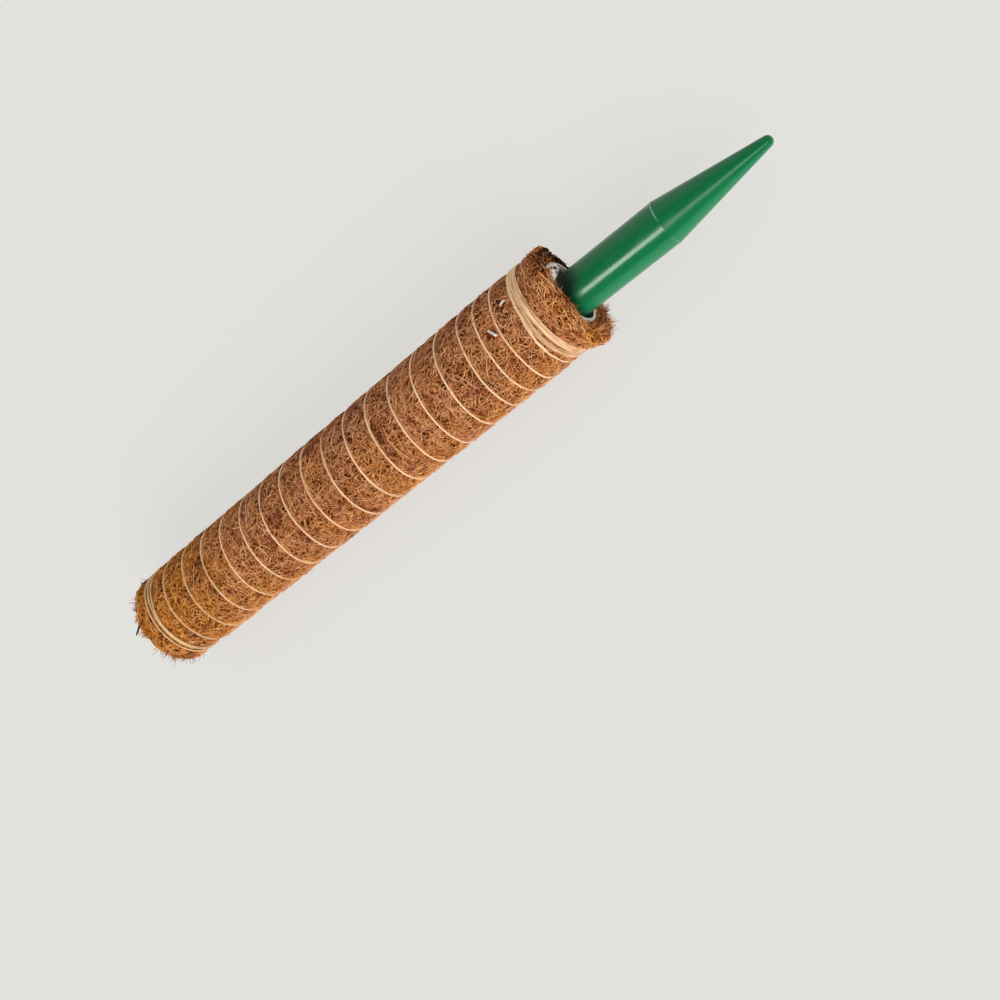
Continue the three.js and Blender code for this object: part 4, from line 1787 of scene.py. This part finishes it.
@dataclass(frozen=True)
class GroundSpike:
    """Moulded spike: hollow shank, parting line of the mould and a long nose with a round tip."""

    seat: SpikeSeat
    radius: float = 10.75 * MM
    wall: float = 2.0 * MM
    insertion: float = 60.0 * MM
    shank: float = 53.0 * MM
    nose: float = 56.0 * MM
    tip_radius: float = 2.7 * MM
    flash_height: float = 0.2 * MM
    flash_half: float = 0.45 * MM
    flash_flat: float = 0.15 * MM
    flash_least: float = 0.03 * MM
    flash_drop: float = 0.06 * MM
    rim: float = 0.5 * MM
    core_tip: float = 1.5 * MM
    columns: int = 120
    steps: int = 24
    tip_steps: int = 10

    def build(self) -> None:
        """Builds the moulding."""
        place = self.seat.matrix()
        columns = []
        for angle in around(self.columns):
            columns.append([place @ Vector((x, -r * math.sin(angle), r * math.cos(angle)))
                            for x, r in self._outline(angle)])
        foot = place @ Vector()
        ring = place @ Vector((self.shank, 0.0, 0.0))
        finish = MouldedFinish(
            name="green_moulding", body=(0.002, 0.135, 0.043), rubbed=(0.02, 0.18, 0.075),
            painted_shade=(0.001, 0.013, 0.005), painted_lit_side=(0.006, 0.195, 0.075),
            flash=(0.17, 0.38, 0.25), foot_x=foot.x, ring_x=ring.x)
        piece = turned_mesh("spike_moulding", columns, finish, ring=False, crease=40.0)
        settle(piece, "green_plastic", "ground_spike")

    def _outline(self, angle: float) -> list[Span]:
        """Outline from the inside of the nose round the rear rim to the tip.

        Args:
            angle: Angle round the pole.

        Returns:
            Places along the spike with their radii.
        """
        tip_centre = self.shank + self.nose - self.tip_radius
        run = tip_centre - self.shank
        reach = math.hypot(run, self.radius)
        slope = math.acos(self.tip_radius / reach) - math.atan2(run, self.radius)
        core = self.radius - self.wall
        core_end = self.shank + (core - self.core_tip) / math.tan(slope)
        rear = self.rim - self.insertion
        outline = [(core_end, 0.0), (core_end, self.core_tip), (self.shank, core),
                   (-self.insertion, core), (-self.insertion, self.radius - self.rim),
                   (rear, self.radius)]
        straight = self.shank - self.flash_half + self.insertion - self.rim
        outline += [(rear + straight * i / self.steps, self.radius) for i in range(1, self.steps)]
        spot = Vector((math.cos(angle) * 2.0, math.sin(angle) * 2.0, 4.0))
        ridge = self.flash_height * (0.55 + 0.9 * noise.noise(spot))
        crest = self.radius + max(ridge, self.flash_least)
        outline += [(self.shank - self.flash_half, self.radius),
                    (self.shank - self.flash_flat, crest), (self.shank + self.flash_flat, crest),
                    (self.shank + self.flash_half, self.radius - self.flash_drop)]
        edge = (tip_centre + self.tip_radius * math.sin(slope), self.tip_radius * math.cos(slope))
        start = outline[-1]
        for i in range(1, self.steps):
            share = i / self.steps
            outline.append((start[0] + (edge[0] - start[0]) * share,
                            start[1] + (edge[1] - start[1]) * share))
        for i in range(self.tip_steps):
            turn = slope + (math.pi / 2 - slope) * i / self.tip_steps
            outline.append((tip_centre + self.tip_radius * math.sin(turn),
                            self.tip_radius * math.cos(turn)))
        outline.append((self.shank + self.nose, 0.0))
        return outline


@dataclass(frozen=True)
class CorePipe:
    """Plastic pipe with sawn ends."""

    pole: PoleFrame
    outer: float = 16.0 * MM
    inner: float = 14.6 * MM
    inset: float = 0.5 * MM
    proud: float = 0.4 * MM
    burr: float = 0.12 * MM
    edge: float = 0.2 * MM
    columns: int = 96
    steps: int = 12

    def build(self) -> None:
        """Builds the pipe."""
        columns = [self._outline(angle) for angle in around(self.columns)]
        finish = PipeFinish(
            name="white_pipe", clean=(0.93, 0.92, 0.88), dusty=(0.66, 0.62, 0.56),
            painted_shade=(0.16, 0.13, 0.10), axis_z=self.pole.axis_z, bore=self.inner)
        piece = turned_mesh("pipe_core", columns, finish, ring=True, crease=35.0)
        settle(piece, "white_pvc", "core_pipe")

    def _outline(self, angle: float) -> list[Vector]:
        """Closed outline of the wall, with broken edges and saw marks on the rims.

        Args:
            angle: Angle round the pole.

        Returns:
            The outline's points.
        """
        edge = self.edge
        saw = self.burr * noise.noise(Vector((6 * math.cos(angle), 6 * math.sin(angle), 0.0)))
        near = saw - self.proud
        far = self.pole.length - self.inset - saw
        runs = [(far - near - 2 * edge) * i / self.steps for i in range(1, self.steps)]
        spots = [(self.outer - edge, near), (self.outer, near + edge)]
        spots += [(self.outer, near + edge + run) for run in runs]
        spots += [(self.outer, far - edge), (self.outer - edge, far),
                  (self.inner + edge, far), (self.inner, far - edge)]
        spots += [(self.inner, far - edge - run) for run in runs]
        spots += [(self.inner, near + edge), (self.inner + edge, near)]
        return [self.pole.point(radius, angle, distance) for radius, distance in spots]


@dataclass(frozen=True)
class AdhesivePlug:
    """Hot-melt glue round the shank, lumpy where it set."""

    pole: PoleFrame
    seat: SpikeSeat
    outer: float = 14.45 * MM
    shank: float = 10.9 * MM
    sunk: float = 6.0 * MM
    sag: float = 1.6 * MM
    bulge: float = 1.8 * MM
    bulge_angle: float = math.radians(-68.0)
    bulge_reach: float = math.radians(32.0)
    spill: float = 1.2 * MM
    spill_height: float = 0.8 * MM
    # Air holes that the glue's finish paints black as shade: radius, angle and size.
    pits: tuple[tuple[float, float, float], ...] = (
        (12.4 * MM, math.radians(-71.0), 0.9 * MM),
        (13.6 * MM, math.radians(-58.0), 0.5 * MM),
        (10.9 * MM, math.radians(-60.0), 0.5 * MM),
    )
    pit_out: float = 1.0 * MM
    length: float = 25.0 * MM
    lump: float = 1.5 * MM
    hole: float = 9.0 * MM
    columns: int = 240
    across: int = 21

    def build(self) -> None:
        """Builds the glue."""
        columns = [self._outline(angle) for angle in around(self.columns)]
        pits = tuple((self.pole.point(radius, angle, -self.pit_out), size)
                     for radius, angle, size in self.pits)
        finish = GlueFinish(
            name="hot_melt_glue", wax=(0.88, 0.79, 0.66), stain_and_shade=(0.045, 0.035, 0.028),
            face_x=self.pole.mouth_x, axis_z=self.pole.axis_z, pits=pits)
        piece = turned_mesh("glue_fill", columns, finish, ring=True, crease=180.0)
        settle(piece, "hot_melt", "adhesive_plug")

    def _outline(self, angle: float) -> list[Vector]:
        """Closed outline of the glue on one side, from the bore to the shank and back.

        Args:
            angle: Angle round the pole.

        Returns:
            The outline's points.
        """
        front = [self._point(angle, i / (self.across - 1), True) for i in range(self.across)]
        back = [self._point(angle, 1 - i / 2, False) for i in range(3)]
        edge = self.pole.point(self.outer, angle, self.pole.mouth_x - front[0].x)
        edge.x -= 0.25 * self.spill_height * self._swollen(angle)
        return [*front, *back, edge]

    def _point(self, angle: float, share: float, front: bool) -> Vector:
        """Point between the bore and the shank, on the lumpy front or the plain back.

        Args:
            angle: Angle round the pole.
            share: Zero at the bore, one at the shank.
            front: True on the front, false on the back.

        Returns:
            The point.
        """
        low = 0.5 + 0.5 * math.cos(angle - self.seat.side)
        swollen = self._swollen(angle) if front else 0.0
        radius = self.outer + self.spill * max(0.0, swollen - 0.4) / 0.6
        depth = self.sunk * low ** 1.5 - self.spill_height * min(1.0, 2.5 * swollen)
        bore = self.pole.point(radius, angle, depth)
        x = bore.x if front else self.pole.mouth_x - self.length
        centre = self.seat.matrix() @ Vector((x - self.pole.mouth_x, 0.0, 0.0))
        centre.x = x
        wall = Vector((x, bore.y, bore.z))
        shank = centre + (wall - centre).normalized() * self.shank
        point = wall.lerp(shank, share)
        if front:
            swell = math.sin(math.pi * share)
            lump = noise.noise(point * 560.0) + 0.7 * noise.noise(point * 1300.0)
            void = max(0.0, noise.noise(point * 470.0 + Vector((0.0, 0.0, 5.0))) - 0.12)
            point.x += (self.lump * (lump - 0.1) - self.hole * void) * math.sqrt(swell)
            point.x += self.bulge * swell * swollen
            point.x -= self.sag * share ** 2
        return point

    def _swollen(self, angle: float) -> float:
        """One where the glue swells out of the pipe, and zero away from there."""
        return bell(turned_from(angle, self.bulge_angle), self.bulge_reach)


@dataclass(frozen=True)
class Staple:
    """Wire staple driven through the mat into the pipe."""

    pole: PoleFrame
    winding: Winding
    number: int
    after_turn: int
    share: float
    angle: float
    slant: float
    dip: float
    radius: float
    crown: float = 6.0 * MM
    leg: float = 9.3 * MM
    width: float = 1.2 * MM
    thickness: float = 0.7 * MM
    bend: float = 0.8 * MM
    bend_steps: int = 6
    corners: int = 16

    def build(self) -> None:
        """Builds the bent wire."""
        seat = self._seat()
        corners = self._corners()
        rings = []
        for spot, out in self._path():
            rings.append([seat @ (spot + out * (v * self.thickness / 2)
                                  + Vector((0.0, 0.0, u * self.width / 2))) for u, v in corners])
        caps = [sum(ring, Vector()) / len(corners) for ring in (rings[0], rings[-1])]
        outlines = [[caps[0], *(ring[k] for ring in rings), caps[1]] for k in range(len(corners))]
        piece = turned_mesh(f"staple_wire_{self.number}", outlines, STAPLE_STEEL, ring=False)
        settle(piece, "staple_steel", f"staple_{self.number}")

    def _corners(self) -> list[Span]:
        """Rounded outline of the flat wire, from minus one to one both ways.

        Returns:
            Its points.
        """
        corners = []
        for k in range(self.corners):
            turn = math.tau * (k + 0.5) / self.corners
            x, y = math.cos(turn), math.sin(turn)
            corners.append((math.copysign(abs(x) ** 0.45, x), math.copysign(abs(y) ** 0.6, y)))
        return corners

    def _path(self) -> list[tuple[Vector, Vector]]:
        """Middle of the wire from one leg's point to the other's, with its outward direction.

        Returns:
            The points with their directions.
        """
        half = self.crown / 2 - self.thickness / 2
        top = -self.thickness / 2
        path = []
        for side in (-1.0, 1.0):
            run = [(Vector((side * half, -self.leg, 0.0)), Vector((side, 0.0, 0.0)))]
            for k in range(self.bend_steps + 1):
                turn = math.pi / 2 * k / self.bend_steps
                out = Vector((side * math.cos(turn), math.sin(turn), 0.0))
                middle = Vector((side * (half - self.bend), top - self.bend, 0.0))
                run.append((middle + out * self.bend, out))
            path += run if side < 0 else run[::-1]
        return path

    def place(self) -> Vector:
        """Middle of the crown."""
        return self._seat().to_translation()

    def _seat(self) -> Matrix:
        """Placement between two turns, legs towards the axis, with one end of the crown sunk.

        Returns:
            The placement.
        """
        passed = self.after_turn + (self.angle - self.winding.seam) / math.tau
        start = self.winding.distance(passed)
        distance = start + self.share * (self.winding.distance(passed + 1) - start)
        zero = self.pole.point(0.0, 0.0, 0.0)
        outward = self.pole.point(1.0, self.angle, 0.0) - zero
        across = self.pole.point(1.0, self.angle + math.pi / 2, 0.0) - zero
        crown = across * math.cos(self.slant) + Vector((math.sin(self.slant), 0.0, 0.0))
        side = crown.cross(outward)
        turn = Matrix((crown, outward, side)).transposed().to_4x4()
        place = Matrix.Translation(self.pole.point(self.radius, self.angle, distance))
        return place @ turn @ Matrix.Rotation(self.dip, 4, "Z")


@dataclass(frozen=True)
class Studio:
    """Camera of the photograph, pale floor and soft light."""

    pole: PoleFrame
    from_mouth: Direction = (0.214874, -0.205737, 0.565258)
    right: Direction = (0.711469, -0.489496, -0.504187)
    up: Direction = (0.536257, 0.841875, -0.060622)
    forward: Direction = (-0.454137, 0.227243, -0.861464)
    lens: float = 51.345
    floor_half: float = 6.0
    sky: float = 0.61
    sky_colour: Colour = (1.0, 0.985, 0.96)
    flag: float = 0.88
    sun: float = 2.36
    sun_from: Direction = (0.22, -0.86, 0.56)
    sun_angle: float = math.radians(46.0)
    strip: float = 12.3
    strip_shift: float = -0.55
    strip_size: Span = (0.9, 0.32)
    nose: float = 1.6
    nose_shift: float = 0.14
    nose_size: Span = (0.44, 0.38)
    gloss_turn: float = math.radians(33.7)
    gloss_aim: float = 0.05

    def build(self) -> None:
        """Builds the camera, the floor and the lights."""
        self._camera()
        self._floor()
        self._sky()
        self._sun()
        self._gloss("box_light", self.strip, self.strip_shift, self.strip_size)
        self._gloss("nose_light", self.nose, self.nose_shift, self.nose_size)
        bpy.context.scene.view_settings.view_transform = "Standard"

    def _camera(self) -> None:
        """Camera at the photograph's place."""
        camera = bpy.data.objects.new("camera", bpy.data.cameras.new("camera"))
        bpy.context.scene.collection.objects.link(camera)
        camera.data.lens = self.lens
        camera.data.clip_start = 0.01
        camera.data.clip_end = 50.0
        back = -Vector(self.forward)
        turn = Matrix((Vector(self.right), Vector(self.up), back)).transposed().to_4x4()
        mouth = self.pole.point(0.0, 0.0, 0.0)
        camera.matrix_world = Matrix.Translation(mouth + Vector(self.from_mouth)) @ turn
        bpy.context.scene.camera = camera

    def _floor(self) -> None:
        """Pale floor under the pole."""
        half = self.floor_half
        mesh = bpy.data.meshes.new("floor")
        corners = [(-half, -half, 0.0), (half, -half, 0.0), (half, half, 0.0), (-half, half, 0.0)]
        mesh.from_pydata(corners, [], [(0, 1, 2, 3)])
        mesh.materials.append(PALE_FLOOR.material())
        linked("floor", mesh)

    def _sky(self) -> None:
        """Even light from all round, with the pale background for the rays that show it."""
        world = bpy.data.worlds.new("studio")
        bpy.context.scene.world = world
        world.use_nodes = True
        world.node_tree.nodes.clear()
        graph = Graph(world.node_tree)
        light = graph.add("ShaderNodeBackground", {},
                          {"Color": graph.opaque(self.sky_colour), "Strength": self.sky})
        _, back, _ = graph.split(graph.add("ShaderNodeTexCoord", {}, {}, "Generated"))
        glossy = graph.add("ShaderNodeLightPath", {}, {}, "Is Glossy Ray")
        dimmed = self.flag * (glossy * graph.falling(back, 0.3, 0.95))
        pale = graph.add("ShaderNodeBackground", {},
                         {"Color": graph.opaque(PALE_FLOOR.colour), "Strength": 1.0 - dimmed})
        mixed = graph.add("ShaderNodeMixShader", {}, {0: graph.seen(), 1: light, 2: pale})
        graph.add("ShaderNodeOutputWorld", {}, {"Surface": mixed})

    @staticmethod
    def _lamp(name: str, kind: str, energy: float, spot: Vector,
              target: Vector) -> bpy.types.Object:
        """Lamp at a spot that shines at a target.

        Args:
            name: Name of the lamp.
            kind: Type of light.
            energy: Its power.
            spot: Place of the lamp.
            target: Place that it shines at.

        Returns:
            The lamp.
        """
        lamp = bpy.data.objects.new(name, bpy.data.lights.new(name, kind))
        bpy.context.scene.collection.objects.link(lamp)
        lamp.data.energy = energy
        lamp.location = spot
        lamp.rotation_mode = "QUATERNION"
        lamp.rotation_quaternion = (target - spot).to_track_quat("-Z", "Y")
        return lamp

    def _sun(self) -> None:
        """Broad soft light from the front and above."""
        lamp = self._lamp("front_light", "SUN", self.sun, Vector(self.sun_from), Vector())
        lamp.visible_glossy = False
        lamp.data.angle = self.sun_angle

    def _gloss(self, name: str, energy: float, shift: float, size: Span) -> None:
        """Box light over the pole, which draws a line of gloss on the spike.

        Args:
            name: Name of the lamp.
            energy: Its power.
            shift: Distance along the pole from the place that it lights.
            size: Length along the pole and width.
        """
        target = self.pole.point(0.0, 0.0, -self.gloss_aim)
        down = Vector((0.0, math.sin(self.gloss_turn), -math.cos(self.gloss_turn)))
        spot = target - down + Vector((shift, 0.0, 0.0))
        lamp = self._lamp(name, "AREA", energy, spot, target)
        lamp.visible_diffuse = False
        lamp.data.shape = "RECTANGLE"
        lamp.data.size = size[0]
        lamp.data.size_y = size[1]
        along = Vector((1.0, 0.0, 0.0))
        side = along.cross(down)
        lamp.rotation_quaternion = Matrix((along, side, -down)).transposed().to_quaternion()


def main() -> None:
    """Builds the studio and the pole's pieces, and notes their size."""
    logging.basicConfig(level=logging.INFO, format="%(message)s")
    pole = PoleFrame.of_pipe()
    winding = Winding()
    seat = SpikeSeat(pole)
    Studio(pole).build()
    CorePipe(pole).build()
    GroundSpike(seat).build()
    AdhesivePlug(pole, seat).build()
    staples = (
        Staple(pole, winding, number=1, after_turn=3, share=0.56, angle=math.radians(-18.0),
               slant=math.radians(104.0), dip=math.radians(15.0), radius=24.55 * MM),
        Staple(pole, winding, number=2, after_turn=4, share=0.35, angle=math.radians(1.0),
               slant=math.radians(28.0), dip=math.radians(5.0), radius=25.0 * MM),
    )
    for staple in staples:
        staple.build()
    BindingTwine(pole, winding).build()
    CoirMat(pole, winding, tuple(staple.place() for staple in staples)).build()


if __name__ == "__main__":
    main()
